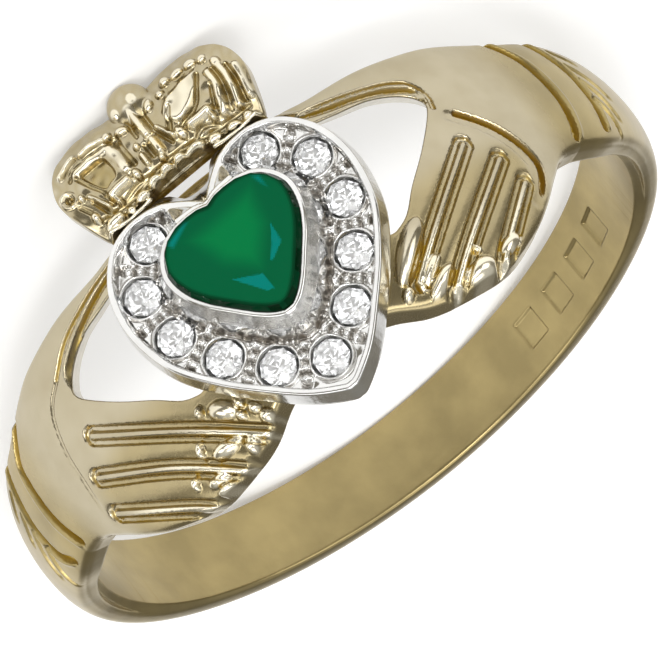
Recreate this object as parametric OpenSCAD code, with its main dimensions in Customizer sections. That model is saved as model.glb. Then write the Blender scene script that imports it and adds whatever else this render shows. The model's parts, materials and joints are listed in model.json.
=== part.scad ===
// Claddagh ring: a yellow gold casting of a band, two hands and a crown, holding a
// white gold heart set with a heart-cut green stone and a halo of small round stones.
// It lies on its side, on the top of its crown and the edge of its band.
// The origin is the middle of the finger hole. Every shape is drawn with the finger
// along Y, the crown towards +Y and the head facing +Z, and is then laid down to rest.

/* [Finger hole and band] */
// Inside diameter of the band
finger_d = 17.3; // [15:0.1:20]
// Width of the band at its back
band_w = 2.35; // [1.8:0.05:3]
// Thickness of the band in the middle of its domed outside
band_t = 0.96; // [0.8:0.02:1.3]
// Thickness of the band at its two edges
band_edge_t = 0.45; // [0.35:0.01:0.6]

/* [Hands and cuffs] */
// Length of each hand round the finger, from the middle of the head to the cuff
hand_len = 10; // [9.4:0.1:10.6]
// How far the fingertips reach below the middle of the finger hole
hand_low = 4.86; // [4.5:0.02:5.1]
// How far the thumbs reach above the middle of the finger hole
hand_high = 1.88; // [1.7:0.02:2.1]
// Thickness of the hands at their highest
hand_t = 1.5; // [1.4:0.02:1.6]
// Thickness of the hands at their edges
hand_edge_t = 0.95; // [0.8:0.01:1.1]
// Width of the grooves between the fingers
groove_w = 0.3; // [0.2:0.01:0.4]
// Depth of the grooves and of the ledge below the thumb
groove_depth = 0.24; // [0.1:0.01:0.3]
// Width of each cuff round the finger
cuff_w = 1.35; // [1:0.05:1.8]
// Width of the two lines engraved beside each cuff
cuff_line_w = 0.16; // [0.1:0.01:0.25]
// Depth of the engraved lines
cuff_line_depth = 0.13; // [0.05:0.01:0.2]
// Relief of the inside of the head beyond the band's own width
head_relief = 0.2; // [0.16:0.01:0.25]

/* [Heart setting] */
// Width of the white gold heart
heart_w = 7.2; // [6.9:0.05:7.5]
// Height of the white gold heart, from its point to the top of its lobes
heart_h = 7.27; // [7.1:0.01:7.5]
// Height of the heart's lobes above the middle of the finger hole
heart_top = 1.47; // [1.4:0.01:1.5]
// Space between the finger and the underside of the heart
heart_rise = 1.5; // [1.4:0.02:1.7]
// Thickness of the heart at its rim
rim_t = 0.8; // [0.7:0.01:0.95]
// Width of the rim's flat top
rim_w = 0.15; // [0.1:0.01:0.2]
// How much the outside of the rim leans inwards
rim_lean = 0.2; // [0.1:0.01:0.25]
// Depth of the stone channel below the rim's top
channel_depth = 0.28; // [0.2:0.01:0.34]
// Height of the main stone's collar above the rim's top
collar_h = 0.8; // [0.6:0.01:1]
// Width of the collar at its foot, outside the stone
collar_foot = 0.42; // [0.3:0.01:0.5]
// Length of the collar's skirt below the heart's underside
skirt_h = 0.5; // [0.3:0.01:0.6]
// Diameter of the grains that hold the small stones
grain_d = 0.27; // [0.2:0.01:0.3]

/* [Stones] */
// Width of the heart-cut stone
stone_w = 3.8; // [3.6:0.02:3.9]
// Height of the heart-cut stone
stone_h = 3.6; // [3.4:0.02:3.7]
// Height of the stone's lobes above the middle of the finger hole
stone_top = 0.1; // [0:0.01:0.12]
// Height of the heart-cut stone above its girdle
stone_crown_h = 0.38; // [0.25:0.01:0.45]
// Depth of the heart-cut stone below its girdle
stone_depth = 1.65; // [1.3:0.01:1.8]
// Diameter of the small round stones
accent_d = 0.98; // [0.85:0.01:1.02]
// Distance between the middles of two neighbouring small stones
accent_pitch = 1.4; // [1.34:0.01:1.42]
// Clearance all round every stone, and between the heart and the hands
fit_gap = 0.03; // [0.02:0.005:0.05]

/* [Crown] */
// Width of the crown
crown_w = 5.72; // [5.5:0.02:5.9]
// Height of the crown's lobes above the middle of the finger hole
crown_top = 4.16; // [4:0.02:4.3]
// Height of the crown's base above the middle of the finger hole
crown_base = 1.36; // [1.3:0.01:1.45]
// Thickness of the crown at its middle
crown_t = 0.72; // [0.6:0.01:0.9]
// Thickness of the crown at its outline
crown_edge_t = 0.2; // [0.15:0.01:0.4]
// Depth of the panels in the crown's lobes
panel_depth = 0.2; // [0.1:0.01:0.3]
// Diameter of the orb on top of the crown
orb_d = 1.2; // [1:0.02:1.4]
// Diameter of the beads along the crown's arches
arch_bead_d = 0.28; // [0.2:0.01:0.3]
// Diameter of the beads round the crown's base and up its middle
base_bead_d = 0.36; // [0.25:0.01:0.4]

/* [Hidden] */
ACCENTS_PER_SIDE = 5;
ACCENT_COUNT = 2 * ACCENTS_PER_SIDE + 1;
function accent_name(i) = str("accent_stone_", i < 10 ? "0" : "", i);

YELLOW_GOLD = [0.80, 0.68, 0.40];
WHITE_GOLD = [0.78, 0.78, 0.76];
GREEN_STONE = [0.00, 0.36, 0.20];
CLEAR_STONE = [0.90, 0.92, 0.94];

// Levels above the finger's axis
finger_r = finger_d / 2;
heart_z = finger_r + heart_rise;
rim_z = heart_z + rim_t;
channel_z = rim_z - channel_depth;
collar_z = rim_z + collar_h;
lip_t = 0.09;
girdle_t = 0.08;
girdle_z = collar_z - lip_t - fit_gap - girdle_t;
// The crown's back lies a little below the heart's rim
crown_drop = 0.5;
crown_z = rim_z - crown_drop;
// The orb stands in the notch between the crown's lobes, and shows above them
orb_show = 0.25;
orb_z = crown_z + 0.55 * crown_t;
orb_y = crown_top + orb_show - orb_d / 2;
// Longer than anything that is cut through
far = 3 * finger_d;

// Angles round the finger, measured from the middle of the head
arc_r = finger_r + 0.9 * hand_t;
cuff_angle = hand_len / arc_r * 180 / PI;
cuff_span = cuff_w / arc_r * 180 / PI;
line_span = cuff_line_w / arc_r * 180 / PI;

// The ring rests on its orb and on the edge of the band's back
rest_edge = [band_w / 2, -finger_r - band_edge_t];
rest_reach = norm([orb_y, orb_z] - rest_edge);
rest_tilt = atan2(orb_y - rest_edge[0], orb_z - rest_edge[1]) + asin(orb_d / 2 / rest_reach);
module lay_down() rotate([rest_tilt - 90, 0, 180]) children();

// Curves through hand-chosen points
function between(a, b, t) = a + (b - a) * t;
function spline(a, b, c, d, t) = 0.5 * (2 * b + (c - a) * t + (2 * a - 5 * b + 4 * c - d) * t * t
    + (3 * b - a - 3 * c + d) * t * t * t);
function smooth(pts, steps) = let (last = len(pts) - 1) concat(
    [for (i = [0 : last - 1], s = [0 : steps - 1])
        spline(pts[max(i - 1, 0)], pts[i], pts[i + 1], pts[min(i + 2, last)], s / steps)],
    [pts[last]]);
function mirrored(half) = let (n = len(half)) concat(half,
    [for (i = [n - 2 : -1 : 1]) [-half[i][0], half[i][1]]]);
// A closed outline that runs clockwise, moved outwards by d
function normal(p, q) = let (v = (q - p) / norm(q - p)) [-v[1], v[0]];
function grown(loop, d) = let (n = len(loop)) [for (i = [0 : n - 1])
    let (a = normal(loop[(i + n - 1) % n], loop[i]), b = normal(loop[i], loop[(i + 1) % n]))
    loop[i] + d * (a + b) / (1 + a * b)];
// How many corners and part of a side a path passes in the distance d, and the point there
function passed(path, d, i = 0) = let (step = norm(path[i + 1] - path[i]))
    d <= step || i == len(path) - 2 ? i + d / step : passed(path, d - step, i + 1);
function point_at(path, t) = let (i = min(floor(t), len(path) - 2)) between(path[i], path[i + 1], t - i);
function along(path, d) = point_at(path, passed(path, d));
function path_length(path, i = 0) = i == len(path) - 1 ? 0
    : norm(path[i + 1] - path[i]) + path_length(path, i + 1);

// Skin through rings of as many points each, closed into a tube or capped at its ends
module skin(rings, closed = false) {
    m = len(rings);
    n = len(rings[0]);
    last = closed ? m - 1 : m - 2;
    polyhedron([for (r = rings) each r], concat(
        [for (k = [0 : last], i = [0 : n - 1]) let (a = k * n, b = (k + 1) % m * n, j = (i + 1) % n)
            each [[a + i, a + j, b + j], [a + i, b + j, b + i]]],
        closed ? [] : [[for (i = [n - 1 : -1 : 0]) i], [for (i = [0 : n - 1]) (m - 1) * n + i]]));
}

// The casting in sections round the finger. Columns: share of the hand's length from the
// middle of the head to the cuff, then shares of hand_low, hand_high, hand_edge_t and hand_t.
HAND_ROWS = [
    [0.00, 0.87, 0.86, 1.25, 1.00],
    [0.15, 0.87, 0.87, 1.20, 1.00],
    [0.27, 0.97, 1.00, 1.00, 1.00],
    [0.37, 1.00, 0.97, 1.00, 0.99],
    [0.52, 0.99, 1.00, 1.00, 0.95],
    [0.65, 0.88, 0.98, 0.97, 0.90],
    [0.74, 0.76, 0.95, 0.95, 0.87],
    [0.82, 0.63, 0.88, 0.93, 0.85],
    [0.90, 0.52, 0.81, 0.89, 0.82],
    [1.00, 0.47, 0.76, 0.84, 0.76]];
// Columns: share of the way from the cuff to the back of the band, then how much of the
// hand's size at the cuff is left over the band's own size.
BAND_ROWS = [
    [0.00, 1.00],
    [0.07, 0.88],
    [0.15, 0.62],
    [0.30, 0.28],
    [0.55, 0.06],
    [0.80, 0.00],
    [1.00, 0.00]];
// Sections hold: angle, low edge, high edge, thickness at the edges, thickness at the middle
function hand_size(row) = [row[0] * cuff_angle, -row[1] * hand_low, row[2] * hand_high,
    row[3] * hand_edge_t, row[4] * hand_t];
band_size = [0, -band_w / 2, band_w / 2, band_edge_t, band_t];
cuff_size = hand_size(HAND_ROWS[len(HAND_ROWS) - 1]);
function band_section(row) = let (s = between(band_size, cuff_size, row[1]))
    [between(cuff_angle, 180, row[0]), s[1], s[2], s[3], s[4]];
HAND_SECTIONS = smooth([for (row = HAND_ROWS) hand_size(row)], 2);
BAND_SECTIONS = smooth([for (row = BAND_ROWS) band_section(row)], 4);
ALL_SECTIONS = concat(HAND_SECTIONS, [for (i = [1 : len(BAND_SECTIONS) - 1]) BAND_SECTIONS[i]]);
function section_at(angle, i = 0) = let (a = ALL_SECTIONS[i], b = ALL_SECTIONS[i + 1])
    angle <= b[0] || i == len(ALL_SECTIONS) - 2 ? between(a, b, (angle - a[0]) / (b[0] - a[0]))
    : section_at(angle, i + 1);
// The engraved lines are short steps down and up again, one before and one after the cuff
function stepped(angle, drop) = let (s = section_at(angle)) [s[0], s[1], s[2], s[3] - drop, s[4] - drop];
LINE_WALL = 0.3;
LINE_CLEAR = 0.5;
function line_sections(start) = [stepped(start, 0), stepped(start + LINE_WALL, cuff_line_depth),
    stepped(start + line_span, cuff_line_depth), stepped(start + line_span + LINE_WALL, 0)];
cuff_lines = [cuff_angle - line_span - LINE_WALL, cuff_angle + cuff_span];
CUFF_SECTIONS = concat(line_sections(cuff_lines[0]), line_sections(cuff_lines[1]));
HALF_SECTIONS = concat(
    [for (s = ALL_SECTIONS) if (s[0] < cuff_lines[0] - LINE_CLEAR) s],
    CUFF_SECTIONS,
    [for (s = ALL_SECTIONS) if (s[0] > cuff_lines[1] + line_span + LINE_WALL + LINE_CLEAR) s]);

// One section as a ring of points: an inner edge that the finger hole cuts back, and a
// dome with a full shoulder
BORE_SPARE = 0.5;
DOME_POINTS = 8;
DOME_POWER = 0.55;
function ring_point(angle, r, y) = [r * sin(angle), y, r * cos(angle)];
function section_ring(s, sink) = let (bottom = finger_r - BORE_SPARE, edge = finger_r + s[3] - sink) concat(
    [ring_point(s[0], bottom, s[1])],
    [for (j = [0 : DOME_POINTS])
        let (u = -cos(180 * j / DOME_POINTS), rise = (s[4] - s[3]) * pow(1 - u * u, DOME_POWER))
        ring_point(s[0], edge + rise, between(s[1], s[2], (u + 1) / 2))],
    [ring_point(s[0], bottom, s[2])]);
module casting() {
    n = len(HALF_SECTIONS);
    left = [for (i = [n - 2 : -1 : 1]) let (s = HALF_SECTIONS[i]) [360 - s[0], s[1], s[2], s[3], s[4]]];
    skin([for (s = concat(HALF_SECTIONS, left)) section_ring(s, 0)], closed = true);
}
// The same hand surface, sunk to the bottom of its grooves and slightly narrower
SUNK_INSET = 0.05;
SUNK_FROM = 0.1;
SUNK_TO = 0.88;
module sunk_hand() skin([for (s = HAND_SECTIONS)
    if (s[0] > SUNK_FROM * cuff_angle && s[0] < SUNK_TO * cuff_angle)
        section_ring([s[0], s[1] + SUNK_INSET, s[2] - SUNK_INSET, s[3], s[4]], groove_depth)]);

// Grooves between the fingers. Columns: where each starts and ends, as shares of hand_len
// from the middle of the head and of hand_low; the last share runs out past the fingertips.
GROOVES = [
    [0.615, 0.27, 0.235, 1.00],
    [0.690, 0.42, 0.325, 1.08],
    [0.725, 0.60, 0.480, 1.06]];
hand_middle = 0.5 * cuff_angle;
function hand_plan(share, low) = [arc_r * sin(share * cuff_angle - hand_middle), -low * hand_low];
module slot(from, to, width) {
    way = to - from;
    translate(from) circle(d = width, $fn = 32);
    translate(from) rotate(atan2(way[1], way[0])) translate([0, -width / 2]) square([norm(way), width]);
}
module finger_grooves() rotate([0, hand_middle, 0]) linear_extrude(far)
    for (g = GROOVES) slot(hand_plan(g[0], g[1]), hand_plan(g[2], g[3]), groove_w);

// The open space between thumb, fingers and the middle of the head, seen from in front.
// Columns: share of hand_len from the middle, then height above the middle of the finger
// hole as a share of hand_low.
GAP_ROWS = [
    [0.000, 0.100], [0.225, 0.100], [0.270, 0.165], [0.305, 0.200], [0.380, 0.182],
    [0.455, 0.165], [0.514, 0.118], [0.552, 0.052], [0.560, -0.016], [0.530, -0.120],
    [0.474, -0.261], [0.407, -0.400], [0.355, -0.515], [0.310, -0.562], [0.265, -0.580],
    [0.140, -0.820], [0.120, -1.300], [0.000, -1.300]];
module head_gap() linear_extrude(far) polygon(mirrored(
    [for (p = GAP_ROWS) [p[0] * hand_len, p[1] * hand_low]]));
// The ledge that runs along the thumb, between the gap and the ridge above it
LEDGE_ROWS = [
    [0.580, -0.030], [0.582, 0.050], [0.560, 0.110], [0.520, 0.160], [0.455, 0.208],
    [0.370, 0.253], [0.270, 0.315], [0.250, 0.100], [0.500, 0.000]];
module thumb_ledge() linear_extrude(far) polygon(
    [for (p = LEDGE_ROWS) [p[0] * hand_len, p[1] * hand_low]]);

// Heart outlines, from the cleft round to the point. Columns: share of the half width,
// share of the height above the point.
HEART_ROWS = [
    [0.000, 0.880], [0.125, 0.938], [0.290, 0.985], [0.486, 1.000], [0.680, 0.973],
    [0.833, 0.911], [0.950, 0.818], [1.000, 0.700], [0.985, 0.585], [0.905, 0.455],
    [0.722, 0.316], [0.517, 0.197], [0.286, 0.080], [0.070, 0.008], [0.000, 0.000]];
// The underside fills the cleft further than the rim does. Same columns, down to the lobes' top.
CLEFT_ROWS = [[0.000, 0.952], [0.125, 0.975], [0.290, 0.996]];
STONE_ROWS = [
    [0.000, 0.968], [0.160, 0.995], [0.330, 1.000], [0.530, 0.992], [0.740, 0.950],
    [0.900, 0.865], [0.990, 0.758], [0.990, 0.650], [0.920, 0.520], [0.780, 0.390],
    [0.590, 0.262], [0.390, 0.135], [0.220, 0.050], [0.080, 0.006], [0.000, 0.000]];
function heart_curve(rows, w, h, top, steps) = mirrored(smooth(
    [for (p = rows) [p[0] * w / 2, top - h * (1 - p[1])]], steps));
CURVE_STEPS = 3;
HEART = heart_curve(HEART_ROWS, heart_w, heart_h, heart_top, CURVE_STEPS);
UNDER_ROWS = [for (i = [0 : len(HEART_ROWS) - 1]) i < len(CLEFT_ROWS) ? CLEFT_ROWS[i] : HEART_ROWS[i]];
HEART_UNDER = heart_curve(UNDER_ROWS, heart_w, heart_h, heart_top, CURVE_STEPS);
STONE = heart_curve(STONE_ROWS, stone_w, stone_h, stone_top, CURVE_STEPS);
// The cut stone has straight sides between fewer corners, and its pocket follows them
STONE_CORNERS = heart_curve(STONE_ROWS, stone_w, stone_h, stone_top, 1);
POCKET = [for (i = [0 : len(STONE_CORNERS) - 1], s = [0 : CURVE_STEPS - 1])
    between(STONE_CORNERS[i], STONE_CORNERS[(i + 1) % len(STONE_CORNERS)], s / CURVE_STEPS)];

// The rim's outside leans in fully at the lobes and less at the point
POINT_LEAN = 0.4;
LEAN_FROM = 0.30;
LEAN_TO = 0.62;
LEANED = grown(HEART, -rim_lean);
function lean_share(y) = let (share = (y - heart_top + heart_h) / heart_h)
    between(POINT_LEAN, 1, max(0, min(1, (share - LEAN_FROM) / (LEAN_TO - LEAN_FROM))));
RIM_OUTSIDE = [for (i = [0 : len(HEART) - 1]) between(HEART[i], LEANED[i], lean_share(HEART[i][1]))];
RIM_INSIDE = grown(RIM_OUTSIDE, -rim_w);
COLLAR_FOOT = grown(STONE, collar_foot);
half_count = (len(HEART) / 2) + 1;
// Lines along the channel, from the point to the cleft; the small stones follow the middle one
function channel_line(share) = [for (i = [half_count - 1 : -1 : 0])
    between(RIM_INSIDE[i], COLLAR_FOOT[i], share)];
STONE_LINE = channel_line(0.5);
point_shift = [0, 0.06];
function accent_place(i) = i == 0 ? STONE_LINE[0] + point_shift : let (
    side = i > ACCENTS_PER_SIDE ? -1 : 1,
    p = along(STONE_LINE, accent_pitch * (i > ACCENTS_PER_SIDE ? i - ACCENTS_PER_SIDE : i)))
    [side * p[0], p[1]];

// Small sizes of the setting: broken edges, the lip over the stone, the inner ledge, the
// opening below the stone, and the skirt round that opening
edge_break = 0.03;
lip_over = 0.07;
lip_edge = 0.027;
lip_w = 0.09;
neck_w = 0.14;
ledge_w = 0.1;
ledge_h = 0.27;
throat_w = 0.35;
skirt_w = 0.45;
cleft_drop = 0.35;

// The channel fades into a plain slope near the cleft, where no stones are set
FADE_FROM = 0.30;
FADE_LENGTH = 0.10;
function fade(i) = let (n = len(HEART), share = min(i, n - i) / half_count)
    max(0, min(1, (FADE_FROM - share) / FADE_LENGTH));
function level(loop, z) = [for (p = loop) [p[0], p[1], z]];
function channel_ring(share, z) = [for (i = [0 : len(HEART) - 1])
    let (p = between(RIM_INSIDE[i], COLLAR_FOOT[i], share),
        slope = between(rim_z, collar_z - cleft_drop, share))
    [p[0], p[1], between(z, slope, fade(i))]];
module setting_body() skin([
    level(HEART_UNDER, heart_z),
    level(HEART_UNDER, heart_z + 0.2 * rim_t),
    level(RIM_OUTSIDE, rim_z - edge_break),
    level(grown(RIM_OUTSIDE, -edge_break), rim_z),
    level(RIM_INSIDE, rim_z - 0.5 * edge_break),
    channel_ring(0.06, channel_z),
    channel_ring(0.94, channel_z),
    level(grown(STONE, 0.75 * collar_foot), between(channel_z, collar_z, 0.55)),
    level(grown(STONE, neck_w), collar_z - 2 * edge_break),
    level(grown(STONE, lip_w), collar_z),
    level(grown(POCKET, -lip_over), collar_z),
    level(grown(POCKET, -lip_over), collar_z - lip_edge),
    level(grown(POCKET, fit_gap), collar_z - lip_t),
    level(grown(POCKET, fit_gap), girdle_z - fit_gap),
    level(grown(POCKET, -ledge_w), girdle_z - ledge_h),
    level(grown(POCKET, -throat_w), heart_z - skirt_h),
    level(grown(STONE, skirt_w - throat_w), heart_z - skirt_h),
    level(grown(STONE, skirt_w - throat_w + 0.5 * skirt_w), heart_z)], closed = true);
// Each seat is a cone down to a small hole through the plate
accent_girdle_z = channel_z + 0.1;
seat_depth = 0.42;
seat_hole_r = 0.13;
module accent_seat() {
    seat_r = accent_d / 2 + fit_gap;
    seat_z = accent_girdle_z - fit_gap;
    translate([0, 0, seat_z]) cylinder(h = rim_t, r = seat_r, $fn = 48);
    translate([0, 0, seat_z - seat_depth])
        cylinder(h = 1.001 * seat_depth, r1 = seat_hole_r, r2 = seat_r, $fn = 48);
    translate([0, 0, heart_z - skirt_h])
        cylinder(h = channel_z - heart_z + skirt_h, r = seat_hole_r, $fn = 24);
}
// Two grains stand in each space between two stones, and beside the outermost ones
GRAIN_SHARES = [0.16, 0.84];
grain_z = channel_z + 0.3 * grain_d;
module grains() for (k = [0 : ACCENTS_PER_SIDE], side = [-1, 1], share = GRAIN_SHARES) {
    place = point_at(channel_line(share), passed(STONE_LINE, accent_pitch * (k + 0.5)));
    translate([side * place[0], place[1], grain_z]) sphere(d = grain_d, $fn = 24);
}
module heart_setting() color(WHITE_GOLD) lay_down() difference() {
    union() {
        setting_body();
        grains();
    }
    for (i = [0 : ACCENT_COUNT - 1]) translate(accent_place(i)) accent_seat();
}

// The heart-cut stone in rings of facets. Columns: share of the girdle's outline, then share
// of the depth below the girdle, or of the height above it up to the table.
BELOW_ROWS = [[0.02, 1.00], [0.52, 0.66], [0.80, 0.33], [1.00, 0.00]];
ABOVE_ROWS = [[1.00, 0.00], [0.87, 0.45], [0.70, 1.00]];
STONE_FOCUS = [0, stone_top - 0.42 * stone_h];
function facet_ring(share, z) = level([for (p = STONE_CORNERS) between(STONE_FOCUS, p, share)], z);
module heart_stone() color(GREEN_STONE) lay_down() skin(concat(
    [for (row = BELOW_ROWS) facet_ring(row[0], girdle_z - row[1] * stone_depth)],
    [for (row = ABOVE_ROWS) facet_ring(row[0], girdle_z + girdle_t + row[1] * stone_crown_h)]));

// A small round brilliant in rings from table to point. Columns: radius and height as shares
// of the stone's radius, sides, and how far the ring is turned.
ACCENT_ROWS = [
    [0.56, 0.33, 8, 22.5],
    [0.82, 0.20, 8, 0],
    [1.00, 0.03, 16, 0],
    [1.00, -0.03, 16, 0],
    [0.45, -0.47, 8, 22.5],
    [0.03, -0.82, 8, 22.5]];
THIN = 0.001;
module accent_stone(i) color(CLEAR_STONE) lay_down() {
    r = accent_d / 2;
    translate(accent_place(i)) translate([0, 0, accent_girdle_z])
        hull() for (row = ACCENT_ROWS) rotate(row[3]) translate([0, 0, row[1] * r])
            cylinder(h = THIN, r = row[0] * r, $fn = row[2]);
}

// Crown outline, from the middle of the base round to the middle of the top. Columns: share
// of the half width, share of the height from base to lobes.
CROWN_ROWS = [
    [0.000, 0.128], [0.280, 0.114], [0.560, 0.068], [0.800, 0.020], [0.880, 0.040],
    [0.955, 0.200], [1.000, 0.380], [1.005, 0.530], [0.972, 0.690], [0.902, 0.820],
    [0.804, 0.915], [0.664, 0.980], [0.525, 1.000], [0.367, 0.985], [0.240, 0.950], [0.000, 0.930]];
PANEL_ROWS = [
    [0.230, 0.340], [0.500, 0.300], [0.680, 0.370], [0.710, 0.540], [0.640, 0.700],
    [0.440, 0.760], [0.260, 0.720], [0.215, 0.560]];
// The arch that the beads follow, from the base up over the lobe to the middle
ARCH_ROWS = [
    [0.800, 0.160], [0.860, 0.330], [0.875, 0.520], [0.830, 0.700], [0.720, 0.830],
    [0.540, 0.890], [0.360, 0.875], [0.220, 0.830]];
crown_h = crown_top - crown_base;
function crown_plan(rows) = [for (p = rows) [p[0] * crown_w / 2, crown_base + p[1] * crown_h]];
function crown_loop(rows, steps) = let (open = crown_plan(rows)) smooth(concat(open, [open[0]]), steps);
CROWN = mirrored(smooth(crown_plan(CROWN_ROWS), 2));
// The crown's front is a barrel, highest across its middle
barrel_r = (pow(crown_h / 2, 2) + pow(crown_t - crown_edge_t, 2)) / (2 * (crown_t - crown_edge_t));
barrel_y = crown_base + 0.47 * crown_h;
function front_z(y) = crown_z + crown_t - barrel_r + sqrt(pow(barrel_r, 2) - pow(y - barrel_y, 2));
module barrel(sink) translate([0, barrel_y, crown_z + crown_t - barrel_r - sink])
    rotate([0, 90, 0]) cylinder(h = 2 * crown_w, r = barrel_r, center = true, $fn = 96);
module crown_front(sink) intersection() {
    translate([0, 0, crown_z]) linear_extrude(2 * crown_t)
        polygon(grown(CROWN, sink > 0 ? -edge_break : 0));
    barrel(sink);
}
module panels() for (side = [0, 1]) mirror([side, 0, 0])
    translate([0, 0, crown_z]) linear_extrude(far) polygon(crown_loop(PANEL_ROWS, 3));
// Fan lines at the crown's outer ends. Columns: shares of the half width and height, both ends.
FAN_LINE_W = 0.09;
FAN_ROWS = [
    [0.700, 0.160, 0.790, 0.480],
    [0.620, 0.120, 0.715, 0.260],
    [0.785, 0.130, 0.845, 0.250]];
module fan_lines() for (side = [0, 1], f = FAN_ROWS) mirror([side, 0, 0])
    let (p = crown_plan([[f[0], f[1]], [f[2], f[3]]]))
    translate([0, 0, crown_z]) linear_extrude(far) slot(p[0], p[1], FAN_LINE_W);
// A bead sits with a little over half of its height above the front
module bead(d, p) translate([p[0], p[1], front_z(p[1]) + 0.1 * d]) sphere(d = d, $fn = 24);
ARCH = smooth(crown_plan(ARCH_ROWS), 3);
arch_step = 1.28 * arch_bead_d;
arch_count = floor(path_length(ARCH) / arch_step);
module arch_beads() for (side = [-1, 1], i = [0 : arch_count])
    let (p = along(ARCH, i * arch_step)) bead(arch_bead_d, [side * p[0], p[1]]);
// The base's row of beads is bowed up at its middle, and a column of beads stands on it
BASE_BEADS = 10;
BASE_BOW = [0.165, 0.15];
base_step = 0.76 * crown_w / (BASE_BEADS - 1);
module base_beads() for (i = [-(BASE_BEADS - 1) / 2 : 1 : (BASE_BEADS - 1) / 2])
    let (x = i * base_step, share = BASE_BOW[0] - BASE_BOW[1] * pow(2 * x / crown_w, 2))
    bead(base_bead_d, [x, crown_base + crown_h * share]);
COLUMN_BEADS = 5;
COLUMN_FROM = 0.32;
COLUMN_STEP = 0.125;
module column_beads() for (i = [0 : COLUMN_BEADS - 1])
    bead(0.95 * base_bead_d, [0, crown_base + crown_h * (COLUMN_FROM + COLUMN_STEP * i)]);
// The feet carry the crown on the ends of the thumbs, and a strip joins them under its base
FOOT_W = 0.66;
FOOT_FROM = 0.6;
foot_y = crown_base + 0.12 * crown_h;
STRIP_W = 0.4;
STRIP_DROP = 0.35;
strip_y = crown_base + 0.175 * crown_h;
module upright(from, to, width) linear_extrude(crown_z + 0.5 * panel_depth - from)
    slot([-to, 0], [to, 0], width);
module crown_feet() {
    for (side = [-1, 1]) translate([side * 0.365 * crown_w, foot_y, finger_r + FOOT_FROM])
        upright(finger_r + FOOT_FROM, 0.065 * crown_w, FOOT_W);
    translate([0, strip_y, crown_z - STRIP_DROP])
        upright(crown_z - STRIP_DROP, 0.4 * crown_w, STRIP_W);
}
module crown() {
    crown_front(panel_depth);
    difference() {
        crown_front(0);
        panels();
        fan_lines();
    }
    arch_beads();
    base_beads();
    column_beads();
    translate([0, orb_y, orb_z]) sphere(d = orb_d, $fn = 48);
    crown_feet();
}
// Blank punch marks inside the band, where a maker would stamp it
PUNCH_COUNT = 4;
PUNCH_ANGLE = 152;
PUNCH_STEP = 9;
PUNCH_SIZE = [0.8, 0.9, 0.16];
module punch_marks() for (i = [0 : PUNCH_COUNT - 1]) rotate([0, PUNCH_ANGLE - PUNCH_STEP * i, 0])
    translate([0, 0, finger_r]) cube(PUNCH_SIZE, center = true);

module along_finger(r, from, to) translate([0, from, 0]) rotate([-90, 0, 0])
    cylinder(h = to - from, r = r, $fn = 180);
module ring_body() color(YELLOW_GOLD) lay_down() difference() {
    union() {
        difference() {
            casting();
            for (side = [0, 1]) mirror([side, 0, 0]) {
                finger_grooves();
                thumb_ledge();
            }
        }
        for (side = [0, 1]) mirror([side, 0, 0]) sunk_hand();
        crown();
    }
    along_finger(finger_r, -far, far);
    along_finger(finger_r + head_relief, -far, -band_w / 2 - edge_break);
    along_finger(finger_r + head_relief, band_w / 2 + edge_break, far);
    head_gap();
    translate([0, 0, heart_z - fit_gap]) linear_extrude(far) polygon(grown(HEART_UNDER, fit_gap));
    punch_marks();
}

ring_body();
heart_setting();
heart_stone();
for (i = [1 : ACCENT_COUNT]) accent_stone(i - 1);
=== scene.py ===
import json
import math

import bpy
import numpy as np
import openvdb as vdb
from mathutils import Matrix, Vector


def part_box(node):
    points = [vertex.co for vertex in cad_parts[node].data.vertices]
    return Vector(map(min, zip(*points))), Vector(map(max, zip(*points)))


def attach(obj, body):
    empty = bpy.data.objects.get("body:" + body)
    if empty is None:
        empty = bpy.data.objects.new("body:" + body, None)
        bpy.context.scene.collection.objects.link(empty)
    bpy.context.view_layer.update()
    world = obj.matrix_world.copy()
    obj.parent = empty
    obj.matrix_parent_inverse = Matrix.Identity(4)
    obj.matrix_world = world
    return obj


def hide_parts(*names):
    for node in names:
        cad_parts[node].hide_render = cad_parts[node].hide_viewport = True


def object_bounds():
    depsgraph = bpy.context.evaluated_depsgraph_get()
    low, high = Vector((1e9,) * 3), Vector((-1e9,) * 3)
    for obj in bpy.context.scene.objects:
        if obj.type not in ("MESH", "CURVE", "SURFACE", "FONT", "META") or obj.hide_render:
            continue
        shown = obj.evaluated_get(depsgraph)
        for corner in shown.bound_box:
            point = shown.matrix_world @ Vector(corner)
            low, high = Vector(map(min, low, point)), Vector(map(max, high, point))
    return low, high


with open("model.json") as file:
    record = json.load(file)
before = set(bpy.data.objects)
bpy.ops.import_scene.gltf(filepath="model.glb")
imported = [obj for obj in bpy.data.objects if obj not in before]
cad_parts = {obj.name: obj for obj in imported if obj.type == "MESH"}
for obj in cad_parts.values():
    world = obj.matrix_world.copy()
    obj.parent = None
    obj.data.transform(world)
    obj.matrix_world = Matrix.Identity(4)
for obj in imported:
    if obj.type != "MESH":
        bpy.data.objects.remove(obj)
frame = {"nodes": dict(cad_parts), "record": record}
cad_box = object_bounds()

# The finger hole sets the place, the tilt and the scale of everything below
MM = 0.001
BORE = frame["record"]["mounts"][0]
FINGER_R = BORE["dims"]["r_mm"]
TILT_SIN, TILT_COS = BORE["axis"][1], BORE["axis"][2]
TO_ROW = np.array([
    [-1.0, 0.0, 0.0],
    [0.0, -TILT_SIN, -TILT_COS],
    [0.0, -TILT_COS, TILT_SIN],
])


def to_row(points):
    """Millimetres in the drawing frame to metres in the row frame."""
    return np.asarray(points, float) @ TO_ROW.T * MM


def to_ring(point):
    """Metres in the row frame to millimetres in the drawing frame."""
    return np.asarray(point, float) @ TO_ROW / MM


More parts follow.
